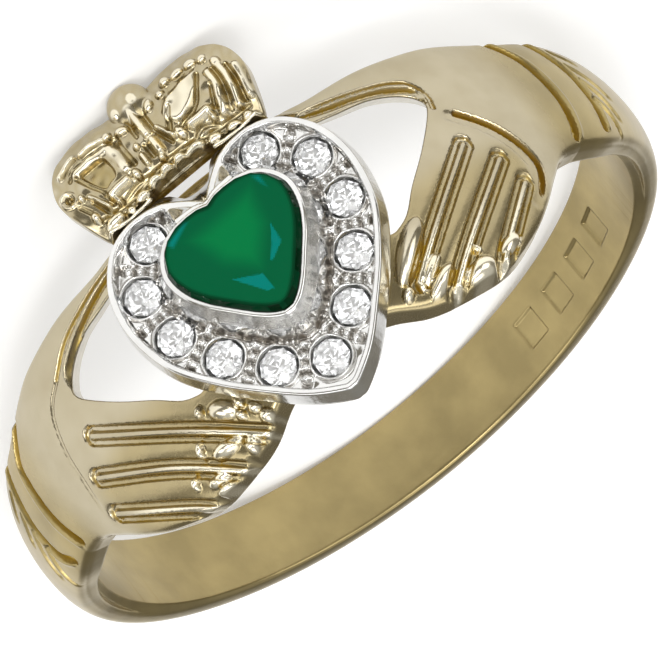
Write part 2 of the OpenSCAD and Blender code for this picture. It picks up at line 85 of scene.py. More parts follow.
# Sizes: W is a width, H a height, T a thickness, R a radius, Z a level over the hole's axis
BAND_W, BAND_T, BAND_EDGE_T = 2.35, 0.96, 0.45
HAND_LEN, HAND_LOW, HAND_HIGH = 10.0, 4.86, 1.88
HAND_T, HAND_EDGE_T = 1.5, 0.95
# The head's inside steps back by this much beyond the band's width
HEAD_RELIEF = 0.2
# Lengths round the finger are measured at this radius
ARC_R = FINGER_R + 0.9 * HAND_T
CUFF_TURN = math.degrees(HAND_LEN / ARC_R)

HEART_W, HEART_H, HEART_TOP, HEART_RISE = 7.2, 7.27, 1.47, 1.5
RIM_T, RIM_W, RIM_LEAN = 0.8, 0.15, 0.1
CHANNEL_DEPTH, COLLAR_H, SKIRT_H = 0.28, 0.8, 0.5
HEART_Z = FINGER_R + HEART_RISE
RIM_Z = HEART_Z + RIM_T
CHANNEL_Z = RIM_Z - CHANNEL_DEPTH
COLLAR_Z = RIM_Z + COLLAR_H

# The collar's lip over the heart-cut stone, that stone's sizes, and the small stones' radius
FIT_GAP, LIP_T, LIP_OVER = 0.03, 0.09, 0.07
STONE_W, STONE_H, STONE_TOP = 3.8, 3.6, 0.1
GIRDLE_T, STONE_CROWN_H, STONE_DEPTH = 0.08, 0.38, 1.65
GIRDLE_Z = COLLAR_Z - LIP_T - FIT_GAP - GIRDLE_T
ACCENT_R = 0.49

CROWN_W, CROWN_TOP, CROWN_BASE = 5.72, 4.16, 1.36
CROWN_T, CROWN_EDGE_T, CROWN_DROP = 0.72, 0.2, 0.5
CROWN_Z = RIM_Z - CROWN_DROP
CROWN_H = CROWN_TOP - CROWN_BASE
ORB_R, ORB_T, ORB_SHOW = 0.6, 0.4, 0.25
ORB_Y, ORB_Z = CROWN_TOP + ORB_SHOW - ORB_R, CROWN_Z + 0.5 * CROWN_T

# Edge roundings and fillets
FINE_ROUND, CROWN_ROUND, FOOT_FILLET, BAND_ROUND, INNER_ROUND = 0.05, 0.08, 0.10, 0.16, 0.12
# A distance to a sloping face is scaled by one of these, so that it isn't overstated
WALL_TRIM, SEAT_TRIM, FRONT_TRIM, FLOOR_TRIM = 0.95, 0.9, 0.75, 0.7


# Curves, distances and blends: the waves of a lumpy face, and the fullness of a bead
WAVES, BEAD_POWER = 14, 0.7


def spline(points, steps=6, closed=False):
    """A smooth curve through a few points."""
    p = np.asarray(points, float)
    if closed:
        ring = np.concatenate([p[-1:], p, p[:2]])
    else:
        ring = np.concatenate([p[:1], p, p[-1:]])
    a, b, c, d = (ring[i:len(ring) - 3 + i][:, None] for i in range(4))
    t = np.linspace(0, 1, steps, endpoint=False)[None, :, None]
    curve = 0.5 * (2 * b + (c - a) * t + (2 * a - 5 * b + 4 * c - d) * t**2
                   + (3 * b - a - 3 * c + d) * t**3)
    curve = curve.reshape(-1, p.shape[1])
    return curve if closed else np.concatenate([curve, p[-1:]])


def mirrored(half):
    """A closed outline from its half, which starts and ends on x = 0."""
    return np.concatenate([half, half[-2:0:-1] * [-1, 1]])


def to_line(x, y, path, closed=False):
    """Distance from points to a line, and how far along it each lies, from 0 to 1."""
    near, share = np.full(x.shape, 1e9), np.zeros(x.shape)
    ends = np.concatenate([path, path[:1]]) if closed else path
    lengths = np.maximum(np.hypot(*np.diff(ends, axis=0).T), 1e-9)
    total, passed = lengths.sum(), 0.0
    for (ax, ay), (bx, by), length in zip(ends[:-1], ends[1:], lengths):
        t = np.clip(((x - ax) * (bx - ax) + (y - ay) * (by - ay)) / length**2, 0, 1)
        d = np.hypot(x - ax - t * (bx - ax), y - ay - t * (by - ay))
        share = np.where(d < near, (passed + t * length) / total, share)
        near = np.minimum(near, d)
        passed += length
    return near, share


def to_loop(x, y, loop):
    """Signed distance to a closed outline, negative inside it."""
    near, _ = to_line(x, y, loop, closed=True)
    inside = np.zeros(x.shape, bool)
    for (ax, ay), (bx, by) in zip(loop, np.roll(loop, -1, axis=0)):
        if ay != by:
            crosses = (ay > y) != (by > y)
            inside ^= crosses & (x < ax + (y - ay) * (bx - ax) / (by - ay))
    return np.where(inside, -near, near)


def fall(d, full, none):
    """1 up to the distance full, 0 from the distance none, smooth between them."""
    t = np.clip((none - d) / (none - full), 0, 1)
    return t * t * (3 - 2 * t)


def waves(x, y, size, height, seed):
    """Soft lumps, about so far apart and so high."""
    chance = np.random.default_rng(seed)
    level = np.zeros(x.shape)
    for _ in range(WAVES):
        turn, phase = chance.uniform(0, 2 * math.pi), chance.uniform(0, 2 * math.pi)
        pitch = chance.uniform(0.7, 1.5)
        level += np.cos((x * math.cos(turn) + y * math.sin(turn)) * 2 * math.pi * pitch / size + phase)
    return level * height / math.sqrt(WAVES)


def both(a, b, k=0.0):
    """The space that two solids share, with an edge rounded over k."""
    if not k:
        return np.maximum(a, b)
    h = np.maximum(k - np.abs(a - b), 0) / k
    return np.maximum(a, b) + h * h * k / 4


def either(a, b, k=0.0):
    """Two solids joined, with a fillet over k."""
    return -both(-a, -b, k)


class Patch:
    """Heights over a flat rectangle, carved stroke by stroke and read back between points."""

    def __init__(self, low, high, step=0.02):
        self.low, self.step = np.array(low, float), step
        self.x, self.y = np.meshgrid(
            *(np.arange(a, b + step, step) for a, b in zip(low, high)), indexing="ij")
        self.cut, self.rise = np.zeros(self.x.shape), np.zeros(self.x.shape)

    def near(self, path, reach):
        """The window of the patch within reach of a path."""
        low = np.floor((path.min(0) - reach - self.low) / self.step).astype(int)
        high = np.ceil((path.max(0) + reach - self.low) / self.step).astype(int) + 1
        low, high = np.maximum(low, 0), np.maximum(high, 1)
        return slice(low[0], high[0]), slice(low[1], high[1])

    def cord(self, points, width, height, flat=0.0, fade=0.0):
        """A window and the heights in it of a cord along a curve. flat is a share of its width,
        and fade the share of its length over which its far end runs out."""
        path = spline(points)
        window = self.near(path, width)
        d, share = to_line(self.x[window], self.y[window], path)
        level = height * fall(d, flat * width / 2, width / 2)
        if fade:
            level = level * np.clip((1 - share) / fade, 0, 1)
        return window, level

    def lift(self, window, level):
        """Raises the patch to at least these heights."""
        self.rise[window] = np.maximum(self.rise[window], level)

    def ridge(self, *stroke):
        """A raised cord along a curve."""
        self.lift(*self.cord(*stroke))

    def groove(self, *stroke):
        """A channel along a curve."""
        window, level = self.cord(*stroke)
        self.cut[window] = np.minimum(self.cut[window], -level)

    def around(self, place, reach):
        """The window round a place, and how far each point in it lies from the place."""
        place = np.array([place], float)
        window = self.near(place, reach)
        return window, self.x[window] - place[0, 0], self.y[window] - place[0, 1]

    def bead(self, place, long, wide, height, turn=0.0):
        """An oval bead, turned by so many degrees."""
        window, dx, dy = self.around(place, long)
        c, s = math.cos(math.radians(turn)), math.sin(math.radians(turn))
        d2 = ((dx * c + dy * s) / long * 2)**2 + ((dy * c - dx * s) / wide * 2)**2
        self.lift(window, height * np.clip(1 - d2, 0, 1)**BEAD_POWER)

    def pit(self, place, width, depth):
        """A round hollow."""
        self.groove([place, place], width, depth, 0.1)

    def ring(self, place, radius, width, height):
        """A raised ring."""
        window, dx, dy = self.around(place, radius + width)
        self.lift(window, height * fall(np.abs(np.hypot(dx, dy) - radius), 0, width / 2))

    def loop(self, points, depth, soft=0.06):
        """A flat recess inside an outline, or a raised field where the depth is negative."""
        d = to_loop(self.x, self.y, spline(points, 5, closed=True))
        level = depth * fall(d, -soft, 0)
        self.cut = np.minimum(self.cut, -level)
        self.rise = np.maximum(self.rise, -level)

    def read(self, values, x, y):
        """Values of one of the patch's layers at any points."""
        i = np.clip((x - self.low[0]) / self.step, 0, values.shape[0] - 1.001)
        j = np.clip((y - self.low[1]) / self.step, 0, values.shape[1] - 1.001)
        i0, j0 = i.astype(int), j.astype(int)
        u, v = i - i0, j - j0
        return ((values[i0, j0] * (1 - u) + values[i0 + 1, j0] * u) * (1 - v)
                + (values[i0, j0 + 1] * (1 - u) + values[i0 + 1, j0 + 1] * u) * v)

    def relief(self, x, y):
        """The heights of all strokes together."""
        return self.read(self.cut + self.rise, x, y)


# Carving a solid into a mesh: nodes along a block of the grid, how many blocks from the skin they
# are sampled, and how many blocks at a time
BLOCK, NEAR_BLOCKS, BATCH = 8, 1.5, 2000
# The reach of a slope, how far a vertex may move back onto the skin, a piece's most triangles
SLOPE_REACH, SNAP, MOST_TRIANGLES = 0.03, 0.02, 190000


def sample(solid, low, high, step):
    """The solid's distances on a grid, exact near its skin and only signed elsewhere."""
    count = np.ceil((np.array(high) - low) / (step * BLOCK)).astype(int)
    corner = [low[k] + np.arange(count[k]) * step * BLOCK for k in range(3)]
    middle = np.stack(np.meshgrid(*corner, indexing="ij"), -1) + step * (BLOCK - 1) / 2
    rough = solid(middle.reshape(-1, 3)).reshape(count)
    grid = np.kron(np.clip(rough, -1, 1), np.ones((BLOCK,) * 3)).astype(np.float32)
    tiles = grid.reshape(count[0], BLOCK, count[1], BLOCK, count[2], BLOCK)
    cell = (np.arange(BLOCK) - (BLOCK - 1) / 2) * step
    inner = np.stack(np.meshgrid(cell, cell, cell, indexing="ij"), -1).reshape(-1, 3)
    i, j, k = np.nonzero(np.abs(rough) < NEAR_BLOCKS * BLOCK * step)
    for at in range(0, len(i), BATCH):
        part = slice(at, at + BATCH)
        a, b, c = i[part], j[part], k[part]
        points = (middle[a, b, c][:, None] + inner[None]).reshape(-1, 3)
        tiles[a, :, b, :, c, :] = solid(points).reshape(-1, BLOCK, BLOCK, BLOCK)
    return grid


def slopes(solid, points):
    """The solid's outward direction at points on its skin."""
    sides = []
    for axis in np.eye(3) * SLOPE_REACH:
        sides.append(solid(points + axis) - solid(points - axis))
    direction = np.stack(sides, 1)
    return direction / np.maximum(np.linalg.norm(direction, axis=1, keepdims=True), 1e-9)


# How far out the skin looks for metal, which share of that way counts as open, and a gain
CAVITY_REACH, CAVITY_OPEN, CAVITY_GAIN = (0.08, 0.16, 0.3, 0.7), 0.75, 1.6
# Painted shade in crevices is lighter by this share on the head's front, but not under the crown's
# middle, where it paints the dark arch
FRONT_LESS_SHADE, DARK_ARCH_REACH = 0.5, (0.8, 1.1)


def cavities(points, outward):
    """How deep each point of the skin lies in a crevice of the whole ring, from 0 to 1: the share of
    painted shade there, also where parts meet.
    """
    closed = np.zeros(len(points))
    for reach in CAVITY_REACH:
        ahead = points + outward * reach
        room = np.minimum(np.minimum(casting(ahead), crown(ahead)), heart_setting(ahead)) / reach
        closed += np.clip(CAVITY_OPEN - room, 0, 1)
    x, y, z = points.T
    # Less painted shade on the head's front, but full painted shade in the dark arch under the crown's
    # middle
    in_dark_arch = fall(np.hypot(x, 2 * (y - CROWN_BASE)), *DARK_ARCH_REACH)
    shown = 1 - FRONT_LESS_SHADE * (1 - in_dark_arch) * (z > CROWN_Z - 0.1)
    return np.clip(closed / len(CAVITY_REACH) * CAVITY_GAIN * shown, 0, 1)


def add(name, data):
    """A new object in the scene."""
    piece = bpy.data.objects.new(name, data)
    bpy.context.scene.collection.objects.link(piece)
    return piece


def add_mesh(name, points, faces):
    """A new mesh piece, from points in the drawing frame."""
    mesh = bpy.data.meshes.new(name)
    mesh.from_pydata(to_row(points), [], faces)
    return add(name, mesh)


def carve(name, solid, dull_and_shade, low, high, step):
    """A thinned mesh of the solid's skin, with its true slopes, its crevices for painted shade and a tone
    value: 1 where the metal is dull and where shade is painted, 0.5 where it is plain and 0 where a
    highlight is painted."""
    grid = vdb.FloatGrid()
    grid.copyFromArray(sample(solid, low, high, step))
    points, quads = grid.convertToQuads(isovalue=0)
    piece = add_mesh(name, np.array(low) + points * step, quads.tolist())
    mesh = piece.data
    if 2 * len(quads) > MOST_TRIANGLES:
        thin = piece.modifiers.new("thin", "DECIMATE")
        thin.ratio = MOST_TRIANGLES / (2 * len(quads))
        graph = bpy.context.evaluated_depsgraph_get()
        slim = bpy.data.meshes.new_from_object(piece.evaluated_get(graph))
        piece.modifiers.clear()
        piece.data = slim
        slim.name = name
        bpy.data.meshes.remove(mesh)
        mesh = slim
    places = np.empty(len(mesh.vertices) * 3)
    mesh.vertices.foreach_get("co", places)
    places = to_ring(places.reshape(-1, 3))
    lean = slopes(solid, places)
    places -= np.clip(solid(places), -SNAP, SNAP)[:, None] * lean
    mesh.vertices.foreach_set("co", to_row(places).ravel())
    mesh.polygons.foreach_set("use_smooth", np.ones(len(mesh.polygons), bool))
    mesh.update()
    lean = slopes(solid, places)
    # The cavity value paints shade in crevices; the other value paints the dull tone, shade and
    # highlights
    for key, values in (("cavity", cavities(places, lean)), ("dull_and_shade", 0.5 + 0.5 * dull_and_shade(places))):
        mesh.attributes.new(key, "FLOAT", "POINT").data.foreach_set("value", values)
    mesh.normals_split_custom_set_from_vertices((lean @ TO_ROW.T).tolist())
    return piece


# The casting's sections round the finger. Columns: share of the hand's length, then shares of
# the hand's low and high reach and of its thickness at the edges and in the middle.
HAND_ROWS = np.array([
    [0.00, 0.87, 0.86, 1.25, 1.00],
    [0.15, 0.87, 0.87, 1.20, 1.00],
    [0.27, 0.97, 1.00, 1.00, 1.00],
    [0.37, 1.00, 0.97, 1.00, 0.99],
    [0.52, 0.99, 1.00, 1.00, 0.95],
    [0.65, 0.88, 0.98, 0.97, 0.90],
    [0.74, 0.76, 0.95, 0.95, 0.87],
    [0.82, 0.63, 0.88, 0.93, 0.85],
    [0.90, 0.52, 0.81, 0.89, 0.82],
    [1.00, 0.47, 0.76, 0.84, 0.76]])
# Columns: share of the way from the cuff to the band's back, share left of the cuff's own size
BAND_ROWS = np.array([
    [0.00, 1.00], [0.07, 0.88], [0.15, 0.62], [0.30, 0.28], [0.55, 0.06], [0.80, 0.00], [1.00, 0.00]])


def sections():
    """Angle, low and high edge, and the thickness at the edges and the middle, in rows."""
    hand = HAND_ROWS * [CUFF_TURN, -HAND_LOW, HAND_HIGH, HAND_EDGE_T, HAND_T]
    plain = np.array([0, -BAND_W / 2, BAND_W / 2, BAND_EDGE_T, BAND_T])
    band = plain + (hand[-1] - plain) * BAND_ROWS[:, 1:]
    band[:, 0] = CUFF_TURN + (180 - CUFF_TURN) * BAND_ROWS[:, 0]
    return np.concatenate([spline(hand, 8), spline(band, 10)[1:]])


SECTIONS = sections()


# Relief of the hands, on a flat patch: arc length from the middle of the head, and y.
# Strokes are given as degrees round the finger and y, with 1 for the hand at x > 0.
DEGREE = math.radians(1) * ARC_R


def arc(points):
    """Stroke points to places on the patch."""
    return np.asarray(points, float) * [DEGREE, 1]


GROOVES = {
    1: [[(35.0, -1.51), (16.4, -4.12)],
        [(38.7, -2.24), (21.4, -4.60), (20.2, -5.10)],
        [(40.2, -3.05), (30.0, -4.60), (28.6, -5.10)]],
    -1: [[(36.6, -1.10), (24.2, -3.00), (14.6, -4.62)],
         [(41.0, -1.85), (29.0, -3.46), (20.2, -5.00)],
         [(43.4, -2.75), (31.8, -4.40), (28.0, -5.10)]],
}
THUMB_LEDGE = {
    1: [(12.0, 1.95), (15.7, 1.64), (18.8, 1.34), (22.1, 1.16), (26.6, 1.02), (29.9, 0.88),
        (32.4, 0.70), (34.6, 0.45), (34.8, 0.1)],
    -1: [(12.0, 1.75), (16.7, 1.43), (21.2, 1.27), (27.6, 0.95), (31.1, 0.71), (33.3, 0.50),
         (34.0, 0.2), (33.4, -0.2)],
}
THUMB_LINE = {
    1: [(14.0, 1.62), (20.3, 1.42), (24.9, 1.28), (29.0, 1.13), (32.4, 0.98), (34.7, 0.74),
        (35.9, 0.25), (35.2, -0.2)],
    -1: [(14.0, 1.66), (21.3, 1.50), (26.0, 1.34), (31.2, 1.12), (36.2, 0.68)],
}
CREASE = {
    1: [(37.5, -0.60), (41.0, -1.23), (43.4, -1.90), (44.6, -2.55), (43.8, -3.03), (41.2, -3.57)],
    -1: [(36.2, 0.68), (40.3, 0.28), (42.7, -0.62), (43.9, -1.69), (45.3, -2.59)],
}
CUFF_LINES = {
    1: [[(54.0, 1.40), (56.0, 0.90), (57.4, 0.45), (58.2, -0.16), (58.5, -0.97), (57.6, -1.70),
         (56.8, -2.0)],
        [(62.9, 1.45), (65.2, 0.73), (66.6, 0.01), (66.9, -1.02), (66.0, -1.75)]],
    -1: [[(51.0, 1.40), (53.4, 1.00), (55.6, 0.60), (56.4, -0.12), (56.8, -1.05), (56.0, -1.95)],
         [(61.1, 1.45), (63.0, 0.46), (64.4, -0.41), (64.1, -1.40), (62.2, -1.85)]],
}
# Engraved strokes on the shoulders beyond the cuffs
LEAF = {
    1: [[(68.2, 0.95), (73.5, 0.55)], [(68.5, 0.35), (72.0, -0.05), (75.0, -0.75)],
        [(68.6, -0.20), (71.5, -0.75), (73.4, -1.50)], [(68.4, -0.85), (70.2, -1.25), (71.2, -1.95)]],
    -1: [[(65.5, 0.85), (70.5, 0.45)], [(66.0, 0.20), (71.0, -0.35)],
         [(66.0, -0.35), (69.5, -0.85), (72.0, -1.50)], [(66.0, -0.95), (69.0, -1.45), (70.5, -2.00)]],
}
# Nails, knuckles and the small forms at the fingertips: angle, y, length, width, height, turn
NAILS = {
    1: [(17.8, -3.36, 1.50, 0.36, 0.13, 43), (18.9, -4.00, 0.76, 0.22, 0.12, 36),
        (19.2, -4.42, 0.88, 0.24, 0.12, 25), (14.0, -4.24, 0.36, 0.18, 0.12, 35),
        (16.4, -4.24, 0.20, 0.20, 0.10, 0), (26.4, -4.14, 0.17, 0.17, 0.12, 0),
        (25.1, -4.66, 0.80, 0.36, 0.13, 2), (31.8, -4.36, 0.70, 0.24, 0.11, 22)],
    -1: [(19.8, -3.10, 0.32, 0.15, 0.12, -48), (17.0, -3.48, 0.66, 0.32, 0.13, 40),
         (23.6, -3.75, 0.42, 0.13, 0.11, -55), (20.4, -4.17, 0.78, 0.24, 0.13, 5),
         (27.8, -4.16, 0.34, 0.13, 0.11, -55), (24.8, -4.52, 0.54, 0.20, 0.12, 2),
         (17.2, -4.52, 0.46, 0.20, 0.13, -60), (25.2, -4.82, 0.46, 0.14, 0.10, 0),
         (14.4, -3.62, 0.22, 0.20, 0.10, 0), (15.4, -3.88, 0.22, 0.18, 0.10, 0),
         (13.2, -3.98, 0.30, 0.20, 0.11, 60), (12.7, -4.32, 0.32, 0.24, 0.11, 20)],
}
# The fingers part where the grooves run out past them: angle and y
NOTCHES = {1: [(20.4, -4.86), (28.6, -4.84)], -1: [(19.6, -4.94), (27.6, -5.00)]}
# Cuts: width, depth, flat share and fading share
FINGER_DIP, FINGER_CUT, LEAF_CUT = (0.95, 0.06, 0.1), (0.60, 0.15, 0.75), (0.28, 0.17, 0.35, 0.3)
THUMB_CUT, LEDGE_CUT, CUFF_CUT = (0.20, 0.12, 0.2), (0.24, 0.15, 0.2), (0.32, 0.20, 0.45)
CREASE_DIP, CREASE_CUT = (0.55, 0.06, 0.1), (0.24, 0.26, 0.2, 0.15)
CREASE_LINE = (0.22, 0.05, 0.1, 0.3)
# Ridges: width, height and flat share
FINGER_RIDGE, LEDGE_LIP, CUFF_LIP = (0.27, 0.14, 0.3), (0.24, 0.06), (0.24, 0.04)
NOTCH = (0.62, 0.55)
# The nails' scale
NAIL_LONG, NAIL_WIDE, NAIL_HIGH = 1.25, 1.7, 1.8


def hand_patch(side):
    """The relief of one hand."""
    patch = Patch((-0.5, -5.3), (14.5, 2.4))
    for line in GROOVES[side]:
        patch.groove(arc(line), *FINGER_DIP)
        patch.groove(arc(line), *FINGER_CUT)
        patch.ridge(arc(line), *FINGER_RIDGE)
    ledge = arc(THUMB_LEDGE[side])
    patch.groove(arc(THUMB_LINE[side]), *THUMB_CUT)
    patch.groove(ledge, *LEDGE_CUT)
    patch.ridge(ledge + [0.02, 0.13], *LEDGE_LIP)
    # The crease behind the fingers is deep on one hand and a mere line on the other
    if side > 0:
        patch.groove(arc(CREASE[side]) - [0.22, 0.0], *CREASE_DIP)
        patch.groove(arc(CREASE[side]), *CREASE_CUT)
    else:
        patch.groove(arc(CREASE[side]), *CREASE_LINE)
    for line in CUFF_LINES[side]:
        patch.groove(arc(line), *CUFF_CUT)
        patch.ridge(arc(line) + [0.22, 0.0], *CUFF_LIP)
    for line in LEAF[side]:
        patch.groove(arc(line), *LEAF_CUT)
    for turn, y, long, wide, height, slant in NAILS[side]:
        patch.bead(arc((turn, y)), NAIL_LONG * long, NAIL_WIDE * wide, NAIL_HIGH * height, slant)
    for place in NOTCHES[side]:
        patch.pit(arc(place), *NOTCH)
    return patch


HANDS = {side: hand_patch(side) for side in (1, -1)}

# The gap's edge leans back by this much for each millimetre below this height over the finger
GAP_DRAFT, GAP_DEEP = 0.38, 1.2
# The space between thumb and fingers. Columns: shares of the hand's length and low reach.
GAP_ROWS = np.array([
    [0.000, 0.100], [0.225, 0.100], [0.270, 0.165], [0.305, 0.200], [0.380, 0.182],
    [0.455, 0.165], [0.514, 0.118], [0.552, 0.052], [0.560, -0.016], [0.530, -0.120],
    [0.474, -0.261], [0.407, -0.400], [0.355, -0.515], [0.310, -0.562], [0.265, -0.580],
    [0.140, -0.820], [0.120, -1.300], [0.000, -1.300]])
# The heart, the stone and the crown. Columns: shares of half the width and of the height.
HEART_ROWS = np.array([
    [0.000, 0.880], [0.125, 0.938], [0.290, 0.985], [0.486, 1.000], [0.680, 0.973],
    [0.833, 0.911], [0.950, 0.818], [1.000, 0.700], [0.985, 0.585], [0.905, 0.455],
    [0.722, 0.316], [0.517, 0.197], [0.286, 0.080], [0.070, 0.008], [0.000, 0.000]])
# The heart's underside fills the cleft further than the rim does
UNDER_ROWS = np.concatenate([
    [[0.000, 0.952], [0.100, 0.962], [0.180, 1.005], [0.260, 1.022], [0.360, 1.012]], HEART_ROWS[3:]])
STONE_ROWS = np.array([
    [0.000, 0.968], [0.160, 0.995], [0.330, 1.000], [0.530, 0.992], [0.740, 0.950],
    [0.900, 0.865], [0.990, 0.758], [0.990, 0.650], [0.920, 0.520], [0.780, 0.390],
    [0.590, 0.262], [0.390, 0.135], [0.220, 0.050], [0.080, 0.006], [0.000, 0.000]])
CROWN_ROWS = np.array([
    [0.000, 0.122], [0.220, 0.105], [0.310, 0.062], [0.380, -0.015], [0.800, -0.030], [0.865, 0.020],
    [0.925, 0.170], [0.965, 0.300], [1.000, 0.430], [1.005, 0.550], [0.972, 0.690], [0.902, 0.820],
    [0.804, 0.915], [0.664, 0.980], [0.525, 1.000], [0.367, 0.985], [0.240, 0.950], [0.000, 0.930]])


def heart(rows, width, height, top, steps=6):
    """A heart's outline from the shares in its table."""
    half = np.stack([rows[:, 0] * width / 2, top - height * (1 - rows[:, 1])], 1)
    return mirrored(spline(half, steps))


# Flat maps of distances: the gap, the hearts and the crown
PLAN = Patch((-6.2, -6.6), (6.2, 4.6))
GAP = to_loop(PLAN.x, PLAN.y, mirrored(spline(GAP_ROWS * [HAND_LEN, HAND_LOW], 5)))
HEART = to_loop(PLAN.x, PLAN.y, heart(HEART_ROWS, HEART_W, HEART_H, HEART_TOP))
UNDER = to_loop(PLAN.x, PLAN.y, heart(UNDER_ROWS, HEART_W, HEART_H, HEART_TOP))
STONE = to_loop(PLAN.x, PLAN.y, heart(STONE_ROWS, STONE_W, STONE_H, STONE_TOP))
CROWN = to_loop(PLAN.x, PLAN.y, mirrored(spline(
    CROWN_ROWS * [CROWN_W / 2, CROWN_H] + [0, CROWN_BASE], 5)))


# Relief of the crown's front, whose two lobes are chased by hand and differ
RECESS = [(-2.04, 3.05), (-1.66, 3.12), (-1.28, 3.06), (-1.25, 2.52), (-1.50, 2.40), (-1.76, 2.40)]
LEAF_FIELD = [(0.47, 2.96), (1.02, 3.34), (1.80, 3.38), (1.66, 3.00), (1.28, 2.62), (0.72, 2.46)]
# Grooves: width, depth, points
CROWN_GROOVES = [
    (0.17, 0.16, [(-0.78, 3.22), (-0.77, 2.42)]),
    (0.13, 0.12, [(-2.12, 3.10), (-1.98, 2.72), (-1.80, 2.36), (-1.78, 1.95)]),
    (0.10, 0.10, [(-2.30, 3.14), (-2.00, 3.34), (-1.45, 3.35), (-0.75, 3.29)]),
    (0.14, 0.10, [(-1.50, 1.84), (-0.98, 1.95), (-0.50, 1.88)]),
    (0.12, 0.12, [(-2.14, 2.30), (-2.00, 1.85)]),
    (0.14, 0.12, [(-2.48, 2.40), (-2.34, 2.12)]),
    (0.13, 0.12, [(-0.31, 3.45), (-0.32, 2.90)]),
    (0.13, 0.12, [(-0.30, 2.58), (-0.28, 2.25)]),
    (0.12, 0.13, [(0.14, 3.60), (0.14, 2.75), (0.30, 2.22)]),
    (0.16, 0.15, [(0.74, 3.00), (0.42, 2.48)]),
    (0.12, 0.12, [(0.66, 2.38), (1.22, 2.52), (1.55, 2.85), (1.78, 3.22)]),
    (0.12, 0.12, [(0.74, 1.84), (1.04, 2.02), (1.42, 1.84)]),
    (0.12, 0.12, [(2.16, 3.05), (2.14, 2.55), (1.92, 1.90)]),
    (0.12, 0.12, [(2.50, 2.90), (2.48, 2.45), (2.34, 1.85)]),
    (0.10, 0.10, [(1.90, 2.75), (1.62, 2.20)]),
    (0.13, 0.12, [(-2.34, 1.80), (-1.40, 1.78), (-0.60, 1.90), (0.0, 1.94), (0.60, 1.90),
                  (1.30, 1.78), (2.30, 1.72)]),
]
# Raised bars: width, height, points
CROWN_BARS = [
    (0.19, 0.13, [(-2.42, 3.40), (-2.18, 3.54), (-1.90, 3.62)]),
    (0.19, 0.13, [(-1.68, 3.57), (-1.38, 3.57), (-1.08, 3.52)]),
    (0.22, 0.06, [(-2.10, 3.22), (-1.60, 3.25), (-1.15, 3.20)]),
    (0.24, 0.07, [(-1.03, 3.15), (-1.02, 2.42)]),
    (0.22, 0.13, [(-1.70, 2.12), (-1.16, 2.18)]),
    (0.16, 0.11, [(-1.66, 2.10), (-1.62, 1.88)]),
    (0.13, 0.10, [(-2.14, 2.44), (-1.90, 1.98)]),
    (0.22, 0.12, [(-0.08, 3.64), (-0.08, 2.76)]),
    (0.22, 0.12, [(-0.07, 2.56), (-0.07, 2.20)]),
    (0.14, 0.11, [(0.20, 2.74), (0.42, 2.28)]),
    (0.24, 0.13, [(0.92, 2.22), (1.46, 2.24)]),
    (0.16, 0.11, [(1.44, 2.20), (1.45, 1.98)]),
    (0.20, 0.08, [(2.02, 3.05), (1.98, 2.60), (1.72, 1.96)]),
    (0.18, 0.09, [(2.34, 3.00), (2.32, 2.52), (2.14, 1.86)]),
    (0.18, 0.09, [(2.66, 2.70), (2.60, 2.30), (2.50, 1.90)]),
    (0.14, 0.08, [(-0.50, 2.42), (-0.50, 2.16)]),
    (0.19, 0.20, [(-2.28, 1.42), (-1.70, 1.37), (-1.02, 1.42)]),
    (0.19, 0.20, [(2.28, 1.42), (1.70, 1.37), (1.02, 1.42)]),
]
# Beads: x, y, length, width, height, turn
CROWN_BEADS = [
    (-0.92, 3.46, 0.24, 0.20, 0.14, 0), (-0.88, 2.14, 0.18, 0.24, 0.11, 0),
    (-2.32, 2.55, 0.16, 0.16, 0.11, 0), (-2.34, 1.94, 0.18, 0.26, 0.11, 0),
    (-0.52, 3.31, 0.34, 0.20, 0.13, -20), (-0.48, 2.68, 0.16, 0.16, 0.12, 0),
    (-0.14, 2.05, 0.18, 0.15, 0.12, 0), (0.36, 3.40, 0.34, 0.20, 0.13, 70),
    (0.76, 3.45, 0.20, 0.18, 0.12, 0), (1.04, 3.67, 0.28, 0.22, 0.14, 45),
    (1.40, 3.62, 0.34, 0.18, 0.13, 5), (1.80, 3.59, 0.32, 0.20, 0.13, -20),
    (2.11, 3.47, 0.22, 0.20, 0.12, -30), (2.34, 3.12, 0.22, 0.26, 0.11, 0),
    (0.60, 2.24, 0.22, 0.30, 0.13, 0),
    (-0.41, 3.78, 0.20, 0.20, 0.20, 0), (0.16, 3.80, 0.22, 0.22, 0.22, 0),
    (-2.04, 1.57, 0.54, 0.25, 0.17, 14), (-1.54, 1.50, 0.30, 0.24, 0.16, 0),
    (-1.12, 1.60, 0.42, 0.25, 0.17, 5), (-0.64, 1.73, 0.40, 0.21, 0.17, 3),
    (-0.24, 1.77, 0.34, 0.21, 0.17, 0), (0.16, 1.75, 0.34, 0.22, 0.17, 0),
    (0.62, 1.72, 0.50, 0.19, 0.16, -3), (1.16, 1.57, 0.42, 0.24, 0.16, -12),
    (1.70, 1.51, 0.42, 0.23, 0.16, -5), (2.12, 1.50, 0.28, 0.23, 0.16, 0)]
# A pierced bead: place, the pit's width and depth, the ring's radius, width and height
EYELET, EYELET_PIT, EYELET_RING = (-2.60, 2.74), (0.28, 0.14), (0.20, 0.12, 0.06)
# The strokes' scale against their tables
CUT_WIDE, CUT_DEEP, BAR_GROW = 1.4, 0.6, 1.5
BEAD_LONG, BEAD_WIDE, BEAD_HIGH = 1.2, 1.45, 1.4
RECESS_DEPTH, FIELD_RISE, FIELD_SOFT, STROKE_FLAT = 0.14, 0.09, 0.14, 0.1


